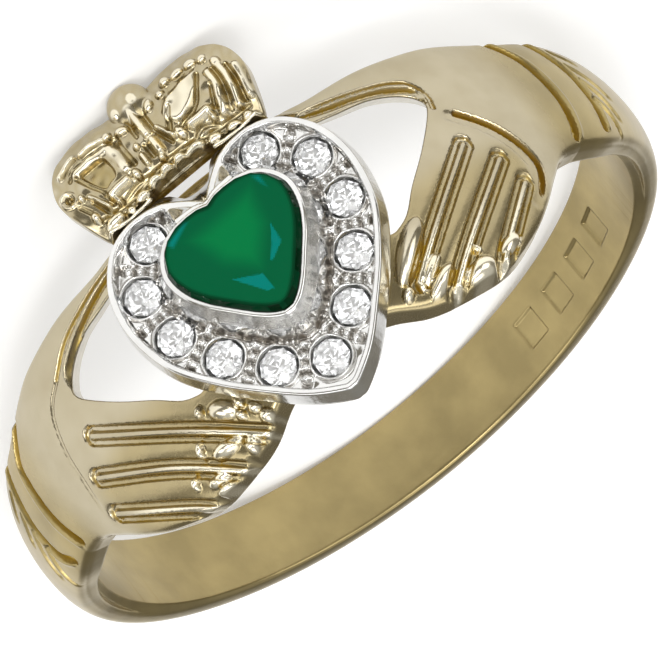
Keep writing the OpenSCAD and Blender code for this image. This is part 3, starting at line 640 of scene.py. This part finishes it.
def crown_patch():
    """The crown's straps, beads, fields and ribs."""
    patch = Patch((-3.2, 0.9), (3.2, 4.6), 0.015)
    patch.loop(RECESS, RECESS_DEPTH)
    patch.loop(LEAF_FIELD, -FIELD_RISE, FIELD_SOFT)
    for width, depth, points in CROWN_GROOVES:
        patch.groove(points, CUT_WIDE * width, CUT_DEEP * depth, STROKE_FLAT)
    for width, height, points in CROWN_BARS:
        patch.ridge(points, BAR_GROW * width, BAR_GROW * height, STROKE_FLAT)
    for x, y, long, wide, height, turn in CROWN_BEADS:
        patch.bead((x, y), BEAD_LONG * long, BEAD_WIDE * wide, BEAD_HIGH * height, turn)
    patch.pit(EYELET, *EYELET_PIT)
    patch.ring(EYELET, *EYELET_RING)
    patch.rise += waves(patch.x, patch.y, size=0.55, height=0.02, seed=3)
    return patch


FRONT = crown_patch()
# The crown's front is part of a cylinder round a line across the head
BARREL_T = CROWN_T - CROWN_EDGE_T
BARREL_R = ((CROWN_H / 2)**2 + BARREL_T**2) / (2 * BARREL_T)
BARREL_Y = CROWN_BASE + 0.47 * CROWN_H
# The feet on the thumbs and the strip under the crown's base: radius, y, span in x, levels
FOOT_R, STRIP_R = 0.33, 0.2
FOOT_Y, STRIP_Y = CROWN_BASE + 0.12 * CROWN_H, CROWN_BASE + 0.175 * CROWN_H
FOOT_SPAN, STRIP_SPAN = (0.30 * CROWN_W, 0.37 * CROWN_W), (0, 0.4 * CROWN_W)
FOOT_LOW, STRIP_LOW, POST_HIGH = FINGER_R + 0.6, CROWN_Z - 0.35, CROWN_Z + 0.1


def post(x, y, z, span, place_y, radius, low):
    """An upright bar with round ends on both sides of the crown's middle."""
    flat = np.hypot(np.abs(x) - np.clip(np.abs(x), *span), y - place_y) - radius
    return both(flat, both(z - POST_HIGH, low - z), FINE_ROUND)


def heart_pocket(x, y, z):
    """The space that the heart takes in front of the casting."""
    flat = both(HEART_Z - FIT_GAP - z, z - RIM_Z - FIT_GAP)
    return np.where(z > 0, both(PLAN.read(UNDER, x, y) - FIT_GAP, flat), 1.0)


def crown(points):
    """The crown, with its orb and its feet."""
    x, y, z = points.T
    front = CROWN_Z + CROWN_T - BARREL_R + np.sqrt(np.maximum(BARREL_R**2 - (y - BARREL_Y)**2, 0.1))
    slab = both(PLAN.read(CROWN, x, y), CROWN_Z - z, CROWN_ROUND)
    slab = both(slab, (z - front - FRONT.relief(x, y)) * FRONT_TRIM, CROWN_ROUND)
    orb = np.sqrt(x**2 + (y - ORB_Y)**2 + ((z - ORB_Z) * ORB_R / ORB_T)**2) - ORB_R
    orb = np.where(orb > 0, orb * ORB_T / ORB_R, orb)
    solid = either(slab, orb, FINE_ROUND)
    feet = post(x, y, z, FOOT_SPAN, FOOT_Y, FOOT_R, FOOT_LOW)
    strip = post(x, y, z, STRIP_SPAN, STRIP_Y, STRIP_R, STRIP_LOW)
    solid = either(solid, either(feet, strip), FOOT_FILLET)
    return both(solid, -heart_pocket(x, y, z))


# Dull tone on the crown's plain face, what cuts add, what raised strokes take off for a painted
# highlight, and their full height
PLAIN_FILM, CUT_DARKER, RAISED_HIGHLIGHT, FULL_STROKE = 0.45, 0.55, 1.35, 0.10


def crown_tone_and_highlight(points):
    """Tone over the crown: 1 in its dull hollows, 0 where plain, -1 on raised parts, which carry a
    painted highlight.
    """
    x, y, _ = points.T
    high, low = (np.clip(np.abs(FRONT.read(level, x, y)) / FULL_STROKE, 0, 1)
                 for level in (FRONT.rise, FRONT.cut))
    # Raised strokes get a painted highlight, cuts a darker dull tone
    return np.clip(PLAIN_FILM - RAISED_HIGHLIGHT * high + CUT_DARKER * low, -1, 1)


# Blank punch marks inside the band: how many, the first one's angle, their step and size
PUNCH_COUNT, PUNCH_TURN, PUNCH_STEP = 4, 152, 9
PUNCH_W, PUNCH_H, PUNCH_DEPTH = 0.8, 0.9, 0.08


def punches(turn, y):
    """Depth of the punch marks at places inside the band."""
    nearest = np.clip(np.round((PUNCH_TURN - turn) / PUNCH_STEP), 0, PUNCH_COUNT - 1)
    across = np.abs(turn - PUNCH_TURN + PUNCH_STEP * nearest) * math.radians(1) * FINGER_R - PUNCH_W / 2
    return PUNCH_DEPTH * fall(np.maximum(across, np.abs(y) - PUNCH_H / 2), -0.06, 0)


# The power of a section's outline, the head's addition and its angles, the relief's last angle
BAND_POWER, HEAD_POWER_MORE, HEAD_TURNS, RELIEF_TURN = 0.55, 0.30, (45, 62), 80


def casting(points):
    """The gold casting: band, cuffs and hands."""
    x, y, z = points.T
    r, turn = np.hypot(x, z), np.degrees(np.arctan2(x, z))
    around = np.abs(turn)
    low, high, edge, middle = (np.interp(around, SECTIONS[:, 0], SECTIONS[:, k]) for k in range(1, 5))
    half = (high - low) / 2
    u = (y - (high + low) / 2) / half
    power = BAND_POWER + HEAD_POWER_MORE * fall(around, *HEAD_TURNS)
    full = np.maximum(1 - u * u, 0.02)
    rise = (middle - edge) * full**power
    steep = (middle - edge) * power * full**(power - 1) * 2 * np.abs(u) / half
    s = around * DEGREE
    relief = np.where(x > 0, HANDS[1].relief(s, y), HANDS[-1].relief(s, y))
    relief = np.where(around < RELIEF_TURN, relief, 0)
    outer = (r - FINGER_R - edge - rise - relief) / np.sqrt(1 + np.minimum(steep, 3)**2)
    beyond = np.clip((np.abs(y) - BAND_W / 2) / INNER_ROUND, 0, 1)
    inner = FINGER_R + HEAD_RELIEF * beyond + punches(turn, y) - r
    solid = both(both(outer, (np.abs(u) - 1) * half, BAND_ROUND), inner, INNER_ROUND)
    # The gap opens towards the back on the thumb's side, where the real casting is thinned
    behind = GAP_DRAFT * np.clip(FINGER_R + GAP_DEEP - r, 0, GAP_DEEP)
    gap = np.where(z > 0, np.minimum(PLAN.read(GAP, x, y), PLAN.read(GAP, x, y - behind)), 1.0)
    solid = both(solid, -gap, INNER_ROUND)
    return both(solid, -heart_pocket(x, y, z))


# Where the painted shade and the dull tone end: above the hole's wall, past the fingers' angles and y,
# before the cuffs
INSIDE_SHADE, FINGER_TURNS, CUFF_TURNS = (0.03, 0.12), (40, 46), (-56, -46)
FINGERS_Y, TIPS_Y = (-2.4, -1.4), (-3.8, -2.8)
# The painted shade on the fingers, the height that keeps a ridge free of it, and the height of a full
# painted highlight on a fingertip
FINGER_SHADE, UNSHADED_RISE, TIP_HIGHLIGHT_RISE = 0.7, 0.08, 0.14


def casting_shade_and_highlight(points):
    """Painted shade inside the band and on the fingers, a dull tone from the cuffs back, and a painted
    highlight on the fingertips.
    """
    x, y, z = points.T
    around = np.abs(np.degrees(np.arctan2(x, z)))
    # Painted shade darkens the inside of the band and the fingers; the fingertips' high places get a
    # painted highlight
    inside = fall(np.hypot(x, z) - FINGER_R, *INSIDE_SHADE)
    rise = np.where(x > 0, *(hand.read(hand.rise, around * DEGREE, y) for hand in (HANDS[1], HANDS[-1])))
    fingers = FINGER_SHADE * fall(y, *FINGERS_Y) * fall(around, *FINGER_TURNS)
    fingers = fingers * (1 - np.clip(rise / UNSHADED_RISE, 0, 1))
    tip_highlight = np.clip(rise / TIP_HIGHLIGHT_RISE, 0, 1) * fall(y, *TIPS_Y)
    dull_and_shade = np.maximum(np.maximum(inside, fingers), fall(-around, *CUFF_TURNS))
    return dull_and_shade - tip_highlight * (around < FINGER_TURNS[1])


# The small stones stand where the frame has them, in a row from one side round the point
ACCENTS = {name: to_ring(np.mean(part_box(name), axis=0)) for name in frame["nodes"] if "accent" in name}
SIDE_COUNT = len(ACCENTS) // 2
IN_ORDER = [ACCENTS[name][:2] for name in sorted(ACCENTS)]
STONE_ROW = IN_ORDER[SIDE_COUNT:0:-1] + IN_ORDER[:1] + IN_ORDER[SIDE_COUNT + 1:]
# Their seats are widest a little under their middles. Columns: level, radius.
SEAT_DROP = 0.02
SEAT_LEVEL = ACCENTS["accent_stone_01"][2] - SEAT_DROP
SEAT_LEVELS = np.array([
    [SEAT_LEVEL - 0.42, 0.13], [SEAT_LEVEL, ACCENT_R + FIT_GAP], [SEAT_LEVEL + 0.2, ACCENT_R + FIT_GAP]])
SEAT_FLOOR = SEAT_LEVEL - 0.6
# A raised ring round each seat: radius, width, height
SEAT_RING = (ACCENT_R + 0.07, 0.15, 0.09)
# Between two stones: a cut across the channel, and grains with their offset and diameter
SPACER_REACH, SPACER_CUT = 0.55, (0.34, 0.12, 0.4)
GRAINS = [(-0.46, 0.30), (-0.16, 0.25), (0.14, 0.25), (0.43, 0.30)]
GRAIN_HIGH = 0.8
# The stone's outline shrinks and grows round this place, and by this share for the collar's foot
STONE_FOCUS = np.array([0, STONE_TOP - 0.42 * STONE_H])
FOOT_SHARE, FOOT_CUT, FOOT_GRAIN = 1.22, (0.20, 0.14, 0.5), (0.13, 0.13, 0.10)


def heart_patch():
    """Rings round the small stones, and the grains and small cuts between them."""
    patch = Patch((-4.0, -6.4), (4.0, 2.0))
    for place in STONE_ROW:
        patch.ring(place, *SEAT_RING)
    ends = [2 * STONE_ROW[0] - STONE_ROW[1]] + STONE_ROW + [2 * STONE_ROW[-1] - STONE_ROW[-2]]
    for a, b in zip(ends[:-1], ends[1:]):
        middle, ahead = (a + b) / 2, (b - a) / np.linalg.norm(b - a)
        across = np.array([-ahead[1], ahead[0]])
        patch.groove([middle - SPACER_REACH * across, middle + SPACER_REACH * across], *SPACER_CUT)
        for offset, size in GRAINS:
            patch.bead(middle + offset * across, size, size, GRAIN_HIGH * size)
    # A dark line with fine grains runs round the collar's foot
    foot = STONE_FOCUS + (heart(STONE_ROWS, STONE_W, STONE_H, STONE_TOP, 3) - STONE_FOCUS) * FOOT_SHARE
    patch.groove(foot, *FOOT_CUT)
    for x, y in foot:
        if y < 0.9 * STONE_TOP:
            patch.bead((x, y), *FOOT_GRAIN)
    patch.rise += waves(patch.x, patch.y, size=0.45, height=0.012, seed=5)
    return patch


CHANNEL = heart_patch()
# The collar's outside, and the hollow that holds the heart-cut stone. Columns: level, and how
# far it stands out from the stone's outline.
COLLAR_LEVELS = np.array([
    [CHANNEL_Z - 0.3, 0.36], [CHANNEL_Z + 0.1, 0.33], [CHANNEL_Z + 0.6, 0.25],
    [COLLAR_Z - 0.25, 0.15], [COLLAR_Z - 0.06, 0.07], [COLLAR_Z, 0.05]])
HOLLOW_LEVELS = np.array([
    [HEART_Z - 0.6, -0.35], [GIRDLE_Z - 0.27, -0.1], [GIRDLE_Z - FIT_GAP, FIT_GAP],
    [COLLAR_Z - LIP_T, FIT_GAP], [COLLAR_Z - LIP_T + 0.03, -LIP_OVER], [COLLAR_Z + 0.2, -LIP_OVER]])
# The rim leans in fully above this share of the heart's height, and less towards its point
POINT_LEAN, LEAN_FROM, LEAN_TO = 0.4, 0.30, 0.62
# The channel rises to the collar in the cleft: place, reach, drop at its end, collar's width
CLEFT_Y, CLEFT_REACH, CLEFT_DROP, CLEFT_COLLAR = 0.55, (0.85, 1.2), 0.35, 0.3
# Widths of the rim's inner slope, and of the skirt round the stone
RIM_SLOPE_W, SKIRT_W = 0.07, 0.10


def heart_setting(points):
    """The white gold heart: plate, rim, channel with seats and grains, and the collar."""
    x, y, z = points.T
    out, off, under = (PLAN.read(outline, x, y) for outline in (HEART, STONE, UNDER))
    # The outer wall, from the underside's outline to the rim's
    up = (y - HEART_TOP + HEART_H) / HEART_H
    full = np.clip((up - LEAN_FROM) / (LEAN_TO - LEAN_FROM), 0, 1)
    lean = RIM_LEAN * (POINT_LEAN + (1 - POINT_LEAN) * full)
    level = np.clip((z - HEART_Z - 0.2 * RIM_T) / (0.8 * RIM_T), 0, 1)
    wall = (under + (out + lean - under) * level) * WALL_TRIM
    # The channel's floor, with the rim round it and the slope in the cleft
    inside = -out - lean - RIM_W
    rim = CHANNEL_Z + (RIM_Z - CHANNEL_Z) * fall(inside, 0, RIM_SLOPE_W)
    floor = rim + CHANNEL.relief(x, y) * fall(-inside, -0.05, 0)
    share = np.clip(inside / np.maximum(inside + off - CLEFT_COLLAR, 0.05), 0, 1)
    slope = RIM_Z + (COLLAR_Z - CLEFT_DROP - RIM_Z) * share
    cleft = fall(np.hypot(x, (y - CLEFT_Y) * 0.9), *CLEFT_REACH)
    floor = floor + cleft * (slope - floor)
    plate = both(both(wall, (z - floor) * FLOOR_TRIM, FINE_ROUND), HEART_Z - z, FINE_ROUND)
    collar = both((off - np.interp(z, *COLLAR_LEVELS.T)) * WALL_TRIM, z - COLLAR_Z, FINE_ROUND)
    collar = both(collar, HEART_Z - z)
    skirt = both(both(off - SKIRT_W, HEART_Z - SKIRT_H - z), z - HEART_Z - 0.1)
    solid = either(either(plate, collar, 0.06), skirt)
    for place in STONE_ROW:
        cone = (np.hypot(x - place[0], y - place[1]) - np.interp(z, *SEAT_LEVELS.T)) * SEAT_TRIM
        solid = both(solid, -both(cone, SEAT_FLOOR - z), 0.02)
    hollow = (off - np.interp(z, *HOLLOW_LEVELS.T)) * WALL_TRIM
    return both(solid, -hollow)


def no_film(points):
    """The white gold is clean."""
    return np.zeros(len(points))


# The heart-cut stone: rings of facets over its outline, and a table on which the facets that show
# through it are painted as reflections. Columns: share of the outline, share of the height or depth.
INNERMOST = 0.02
BELOW_ROWS = [(INNERMOST, 1.00), (0.52, 0.66), (0.80, 0.33), (1.00, 0.00)]
ABOVE_ROWS = [(1.00, 0.00), (0.965, 0.45), (0.925, 1.00)]
TABLE_STEPS, TABLE_RINGS = 6, 40
# Painted glints: the green lightens from facet to facet and from ring to ring in a sine wave
FACET_BEAT, RING_BEAT = 2.4, 1.7
# The stone's greens: painted shade, painted glints, its own body green, and the lighter green and teal of
# painted reflections
SHADE_GREEN = (0.0004, 0.009, 0.002)
GLINT_GREEN = (0.0005, 0.040, 0.014)
DARK_GREEN = (0.0006, 0.088, 0.032)
LEAF_GREEN = (0.001, 0.150, 0.042)
REFLECTED_TEAL = (0.001, 0.165, 0.135)
# Painted reflections of the facets seen through the table: colour, softness of its edge, outline
REFLECTED_FACETS = [
    (LEAF_GREEN, 0.60, [(-1.15, -0.35), (1.35, -0.25), (1.05, -1.55), (0.1, -2.6), (-0.75, -1.70)]),
    (REFLECTED_TEAL, 0.03, [(-0.68, -2.02), (0.04, -2.44), (0.04, -2.96), (-0.16, -2.88)]),
    (REFLECTED_TEAL, 0.03, [(0.95, -1.48), (0.88, -2.10), (0.42, -2.36), (0.35, -2.30), (0.63, -1.98)]),
    (REFLECTED_TEAL, 0.14, [(-1.45, -0.22), (-0.70, -0.02), (-0.50, -0.14), (-1.3, -0.50)]),
    (REFLECTED_TEAL, 0.14, [(1.20, -0.15), (1.50, -0.35), (1.45, -0.95), (1.30, -0.60)]),
]
# How dark the painted shade along the table's edge is, and how far from the outline it ends
EDGE_SHADE, EDGE_REACH = 0.75, (0.15, 0.26)


def blend(a, b, share):
    """A colour between two, by share."""
    share = np.asarray(share)[..., None]
    return np.asarray(a) * (1 - share) + np.asarray(b) * share


def painted_table_colour(x, y):
    """The heart-cut stone's colour at a place on its table, with the facets below painted on as
    reflections and painted shade along its edge.
    """
    x, y, colour = np.array([x]), np.array([y]), DARK_GREEN
    for tint, soft, points in REFLECTED_FACETS:
        colour = blend(colour, tint, fall(to_loop(x, y, np.array(points)), -soft, 0)[0])
    return blend(colour, SHADE_GREEN, EDGE_SHADE * fall(-PLAN.read(STONE, x, y), *EDGE_REACH)[0])


def ring_faces(a, b, count):
    """Four-sided faces between two rings of points that start at numbers a and b."""
    return [(a + i, b + i, b + (i + 1) % count, a + (i + 1) % count) for i in range(count)]


def heart_stone():
    """The heart-cut stone as flat facets, whose greens carry painted glints and painted shade."""
    corners = heart(STONE_ROWS, STONE_W, STONE_H, STONE_TOP, 1)
    count = len(corners)
    levels = [(share, GIRDLE_Z - depth * STONE_DEPTH) for share, depth in BELOW_ROWS]
    levels += [(share, GIRDLE_Z + GIRDLE_T + height * STONE_CROWN_H) for share, height in ABOVE_ROWS]
    table_share, table_z = levels.pop()
    # The table's edge keeps the straight sides of the facets, in several steps each
    steps = np.arange(TABLE_STEPS)[None, :, None] / TABLE_STEPS
    edge = (corners[:, None] * (1 - steps) + np.roll(corners, -1, axis=0)[:, None] * steps).reshape(-1, 2)
    fine = len(edge)
    table = np.linspace(table_share, INNERMOST, TABLE_RINGS)
    rings = [(corners, share, z) for share, z in levels] + [(edge, share, table_z) for share in table]
    points = np.concatenate([np.column_stack([STONE_FOCUS + (loop - STONE_FOCUS) * share,
                                              np.full(len(loop), z)]) for loop, share, z in rings])
    faces, tints = [tuple(range(count))], [SHADE_GREEN]
    girdle = len(BELOW_ROWS) - 1
    for ring in range(len(levels) - 1):
        faces += ring_faces(ring * count, (ring + 1) * count, count)
        for i in range(count):
            # Painted glints lighten the green of the facets below the girdle
            glint = 0.0 if ring >= girdle else 0.5 + 0.5 * math.sin(FACET_BEAT * i + RING_BEAT * ring)
            tints.append(blend(SHADE_GREEN, GLINT_GREEN, glint))
    first, top = (len(levels) - 1) * count, len(levels) * count
    for i in range(count):
        above = [top + (i * TABLE_STEPS + k) % fine for k in range(TABLE_STEPS + 1)]
        faces.append((first + i, *above, first + (i + 1) % count))
        # The crown's upper facets get painted glints too
        tints.append(blend(SHADE_GREEN, GLINT_GREEN, 0.35 + 0.25 * math.sin(FACET_BEAT * i)))
    for ring in range(TABLE_RINGS - 1):
        for face in ring_faces(top + ring * fine, top + (ring + 1) * fine, fine):
            faces.append(face)
            tints.append(painted_table_colour(*points[list(face), :2].mean(0)))
    faces.append(tuple(reversed(range(len(points) - fine, len(points)))))
    tints.append(painted_table_colour(*STONE_FOCUS))
    piece = add_mesh("green_heart_stone", points, faces)
    tint = piece.data.color_attributes.new("tint", "FLOAT_COLOR", "CORNER")
    per_corner = np.repeat(np.array(tints), [len(face) for face in faces], axis=0)
    tint.data.foreach_set("color", np.column_stack([per_corner, np.ones(len(per_corner))]).ravel())
    return piece


# A small round stone in rings of facets. Columns: radius and height as shares of the stone's
# radius, and how far the ring is turned, in steps of half a facet.
BRILLIANT_ROWS = [(0.50, 0.36, 1), (0.76, 0.22, 0), (0.99, 0.04, 1), (0.99, -0.04, 1), (0.03, -0.80, 1)]
BRILLIANT_SIDES = 8
# From stone to stone, in radians
BRILLIANT_TURN = 0.7


def brilliant(name, place, turn):
    """A round brilliant: table, stars, mains and a pointed back."""
    points, faces, sides = [], [], BRILLIANT_SIDES
    for share, height, shift in BRILLIANT_ROWS:
        for i in range(sides):
            angle = 2 * math.pi * (i + shift / 2) / sides + turn
            r = share * ACCENT_R
            points.append((place[0] + r * math.cos(angle), place[1] + r * math.sin(angle),
                           place[2] + height * ACCENT_R))
    faces.append(tuple(range(sides)))
    for i in range(sides):
        j, k = (i + 1) % sides, (i - 1) % sides
        a, b, c, d, e = (sides * ring for ring in range(5))
        faces.append((a + k, b + i, a + i))
        faces.append((b + i, b + j, a + i))
        faces.append((b + i, c + k, c + i))
        faces.append((b + i, c + i, b + j))
        faces.append((c + i, d + i, d + j, c + j))
        faces.append((d + i, e + i, e + j, d + j))
    faces.append(tuple(reversed(range(4 * sides, 5 * sides))))
    return add_mesh(name, points, faces)


# Materials
BLACK, WHITE = (0, 0, 0), (1, 1, 1)
# Noise over the metals: features per metre, detail and roughness
CLOUDS, FILM_CLOUDS, SCRATCHES, DENTS = (900, 4), (700, 4), (2500, 5, 0.7), (1400, 4, 0.6)
DENT_HEIGHT = 0.00001
# Shares of the dull colour, which also carries painted shade, and the roughness of dull parts and
# crevices
FILM_THIN, FILM_THICK, FILM_ROUGH, CREVICE_ROUGH = 0.86, 1.12, (0.3,) * 3, (0.5,) * 3


def plug(tree, node, **sockets):
    """Sets a node's own sockets, or links them where a value comes from another node."""
    for name, value in sockets.items():
        port = node.inputs[name.replace("_", " ").title().replace("Ior", "IOR")]
        if isinstance(value, bpy.types.NodeSocket):
            tree.links.new(value, port)
        else:
            port.default_value = value
    return node


def shader(name, **sockets):
    """A new material, its nodes and its main shader."""
    material = bpy.data.materials.new(name)
    material.use_nodes = True
    tree = material.node_tree
    return material, tree, plug(tree, tree.nodes["Principled BSDF"], **sockets)


def noise(tree, scale, detail, rough=0.5):
    """A noise field over the object's own coordinates, in features per metre."""
    place = tree.nodes.new("ShaderNodeTexCoord").outputs["Object"]
    field = tree.nodes.new("ShaderNodeTexNoise")
    return plug(tree, field, vector=place, scale=scale, detail=detail, roughness=rough).outputs["Fac"]


def ramp(tree, value, *stops):
    """Colours by value: each stop is a place and a colour."""
    node = plug(tree, tree.nodes.new("ShaderNodeValToRGB"), fac=value)
    while len(node.color_ramp.elements) < len(stops):
        node.color_ramp.elements.new(0.5)
    for element, (place, colour) in zip(node.color_ramp.elements, stops):
        element.position = place
        element.color = (*colour, 1)
    return node.outputs["Color"]


def attribute(tree, name, output):
    """One of the piece's own values."""
    node = tree.nodes.new("ShaderNodeAttribute")
    node.attribute_name = name
    return node.outputs[output]


def mixed(tree, share, a, b):
    """Two colours blended by a value from 0 to 1."""
    node = tree.nodes.new("ShaderNodeMix")
    node.data_type = "RGBA"
    tree.links.new(share, node.inputs["Factor"])
    for socket, value in (("A", a), ("B", b)):
        port = next(p for p in node.inputs if p.name == socket and p.type == "RGBA")
        if isinstance(value, tuple):
            port.default_value = (*value, 1)
        else:
            tree.links.new(value, port)
    return next(p for p in node.outputs if p.type == "RGBA")


def metal(name, light, dark, dull_and_shade, painted_highlight, shade_and_tarnish, rough):
    """Cast metal: colour clouds, scratches, soft dents, a dull colour that also carries painted shade,
    painted highlights on high places, and painted shade with some tarnish in crevices.
    """
    material, tree, main = shader(name, metallic=1.0)
    # Painted shade: crevices turn the colour towards a dark tarnish brown
    crevice = ramp(tree, attribute(tree, "cavity", "Fac"), (0.22, BLACK), (0.85, WHITE))
    clean = ramp(tree, noise(tree, *CLOUDS), (0.35, dark), (0.65, light))
    dull = ramp(tree, attribute(tree, "dull_and_shade", "Fac"), (0.5, BLACK), (1.0, WHITE))
    # Painted highlight: the lowest values turn the colour towards a light highlight colour
    highlight_share = ramp(tree, attribute(tree, "dull_and_shade", "Fac"), (0.0, WHITE), (0.5, BLACK))
    thin, thick = (tuple(share * c for c in dull_and_shade) for share in (FILM_THIN, FILM_THICK))
    dull_shaded_colour = ramp(tree, noise(tree, *FILM_CLOUDS), (0.35, thin), (0.65, thick))
    clean = mixed(tree, highlight_share, mixed(tree, dull, clean, dull_shaded_colour), painted_highlight)
    polish = ramp(tree, noise(tree, *SCRATCHES), (0.3, (rough[0],) * 3), (0.7, (rough[1],) * 3))
    polish = mixed(tree, dull, polish, FILM_ROUGH)
    bump = plug(tree, tree.nodes.new("ShaderNodeBump"), strength=1.0, distance=DENT_HEIGHT,
                height=noise(tree, *DENTS))
    plug(tree, main, base_color=mixed(tree, crevice, clean, shade_and_tarnish),
         roughness=mixed(tree, crevice, polish, CREVICE_ROUGH), normal=bump.outputs["Normal"])
    return material


# In both golds the lightest colour is a painted highlight, the crevice colour is painted shade with some
# tarnish, and the dull colour also carries painted shade
YELLOW_GOLD = metal(
    "yellow_gold", light=(0.47, 0.415, 0.295), dark=(0.42, 0.365, 0.25), dull_and_shade=(0.35, 0.278, 0.130),
    painted_highlight=(0.82, 0.76, 0.60), shade_and_tarnish=(0.48, 0.33, 0.05), rough=(0.14, 0.24))
WHITE_GOLD = metal(
    "white_gold", light=(0.74, 0.735, 0.72), dark=(0.64, 0.635, 0.62), dull_and_shade=(0.69, 0.68, 0.66),
    painted_highlight=(0.9, 0.9, 0.9), shade_and_tarnish=(0.36, 0.32, 0.27), rough=(0.08, 0.18))


def green_gem():
    """The heart-cut stone's glassy green, in each facet's tint, which holds its painted reflections and
    shade.
    """
    material, tree, main = shader("green_stone", ior=1.5, roughness=0.04, specular_ior_level=0.03)
    plug(tree, main, base_color=attribute(tree, "tint", "Color"))
    return material


def clear_gem():
    """The small stones."""
    colour = (0.96, 0.97, 0.98, 1)
    return shader("clear_stone", ior=2.2, roughness=0.0, base_color=colour, transmission_weight=0.85)[0]


def dress(piece, material, node):
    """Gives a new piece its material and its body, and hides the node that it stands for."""
    piece.data.materials.append(material)
    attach(piece, "root")
    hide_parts(node)


# Pieces. The grids' corners and steps are chosen so that no node of a grid lies on a flat face.
gold = carve("gold_casting", casting, casting_shade_and_highlight, (-10.12, -5.31, -10.02), (10.1, 2.3, 10.9), 0.05)
dress(gold, YELLOW_GOLD, "ring_body")
top = carve("gold_crown", crown, crown_tone_and_highlight, (-3.11, 1.01, 9.11), (3.1, 4.6, 11.7), 0.03)
dress(top, YELLOW_GOLD, "ring_body")
white = carve("white_gold_heart", heart_setting, no_film, (-3.9, -6.1, 9.4), (3.9, 1.8, 12.0), 0.035)
dress(white, WHITE_GOLD, "heart_setting")
dress(heart_stone(), green_gem(), "heart_stone")

CLEAR = clear_gem()
for number, (name, place) in enumerate(sorted(ACCENTS.items())):
    middle = np.array([place[0], place[1], SEAT_LEVEL + SEAT_DROP])
    stone = brilliant(name.replace("accent", "round"), middle, BRILLIANT_TURN * number)
    dress(stone, CLEAR, name)


# Half the floor's side, in metres
FLOOR_HALF = 0.6


def floor():
    """The white floor, just under the ring."""
    material = shader("floor_white", roughness=0.6, base_color=(0.85, 0.85, 0.85, 1),
                      emission_color=(1, 1, 1, 1), emission_strength=0.24)[0]
    level, low, high = cad_box[0][2], -FLOOR_HALF, FLOOR_HALF
    corners = [(low, low, level), (high, low, level), (high, high, level), (low, high, level)]
    mesh = bpy.data.meshes.new("floor")
    mesh.from_pydata(corners, [], [(0, 1, 2, 3)])
    mesh.materials.append(material)
    add("floor", mesh)


floor()

# The camera: how far from the finger hole, degrees below the head's axis, sideways and of roll,
# pixels per millimetre, and the hole's place off the photo's middle
CAMERA_AWAY, CAMERA_TURNS, CAMERA_SCALE = 160.0, (23.09, 1.87, -38.9), 38.542
PHOTO_PX, RIGHT_PX, DOWN_PX, SENSOR_MM = 665.0, 6.6, 10.9, 36


def camera():
    """The camera at the photo's viewing angle."""
    drop, swing, roll = (math.radians(turn) for turn in CAMERA_TURNS)
    back = np.array([math.sin(swing) * math.cos(drop), -math.sin(drop), math.cos(swing) * math.cos(drop)])
    up0 = np.array([0, 1, 0]) - back * back[1]
    up0 /= np.linalg.norm(up0)
    right0 = np.cross(up0, back)
    right = right0 * math.cos(roll) + up0 * math.sin(roll)
    up = -right0 * math.sin(roll) + up0 * math.cos(roll)
    turn = Matrix([(TO_ROW @ v).tolist() for v in (right, up, back)]).transposed()
    lens = bpy.data.cameras.new("camera")
    lens.sensor_width = SENSOR_MM
    lens.lens = CAMERA_SCALE * CAMERA_AWAY * SENSOR_MM / PHOTO_PX
    lens.shift_x, lens.shift_y = -RIGHT_PX / PHOTO_PX, DOWN_PX / PHOTO_PX
    lens.clip_start, lens.clip_end = 0.005, 10
    eye = add("camera", lens)
    eye.matrix_world = Matrix.Translation(Vector(to_row(back * CAMERA_AWAY))) @ turn.to_4x4()
    bpy.context.scene.camera = eye


camera()

# Soft light in the row frame. Panels: name, place, size, power. Room: height, colour.
PANELS = [
    ("front_light", (0.0, -0.17, 0.19), (0.22, 0.15), 0.25),
    ("top_light", (0.02, 0.04, 0.22), (0.16, 0.12), 0.10),
    ("key_light", (0.04, -0.15, 0.20), (0.05, 0.05), 0.09),
    ("left_light", (-0.20, -0.10, 0.14), (0.16, 0.18), 0.17),
    ("right_light", (0.20, -0.10, 0.14), (0.16, 0.18), 0.17),
]
ROOM = [(0.0, (0.24, 0.22, 0.18)), (0.40, (0.28, 0.27, 0.24)), (0.62, (0.55, 0.55, 0.54)),
        (1.0, (0.60, 0.60, 0.60))]


def panel(name, place, size, power):
    """A soft panel that faces the ring."""
    lamp = bpy.data.lights.new(name, "AREA")
    lamp.shape = "RECTANGLE"
    lamp.size, lamp.size_y = size
    lamp.energy = power
    piece = add(name, lamp)
    piece.location = place
    piece.rotation_euler = (-Vector(place)).to_track_quat("-Z", "Y").to_euler()


def room():
    """A dim room, lighter overhead."""
    world = bpy.data.worlds.new("room")
    world.use_nodes = True
    tree = world.node_tree
    where = tree.nodes.new("ShaderNodeTexCoord").outputs["Generated"]
    split = plug(tree, tree.nodes.new("ShaderNodeSeparateXYZ"), vector=where)
    plug(tree, tree.nodes["Background"], color=ramp(tree, split.outputs["Z"], *ROOM))
    bpy.context.scene.world = world


room()
for entry in PANELS:
    panel(*entry)
bpy.context.scene.view_settings.view_transform = "Standard"
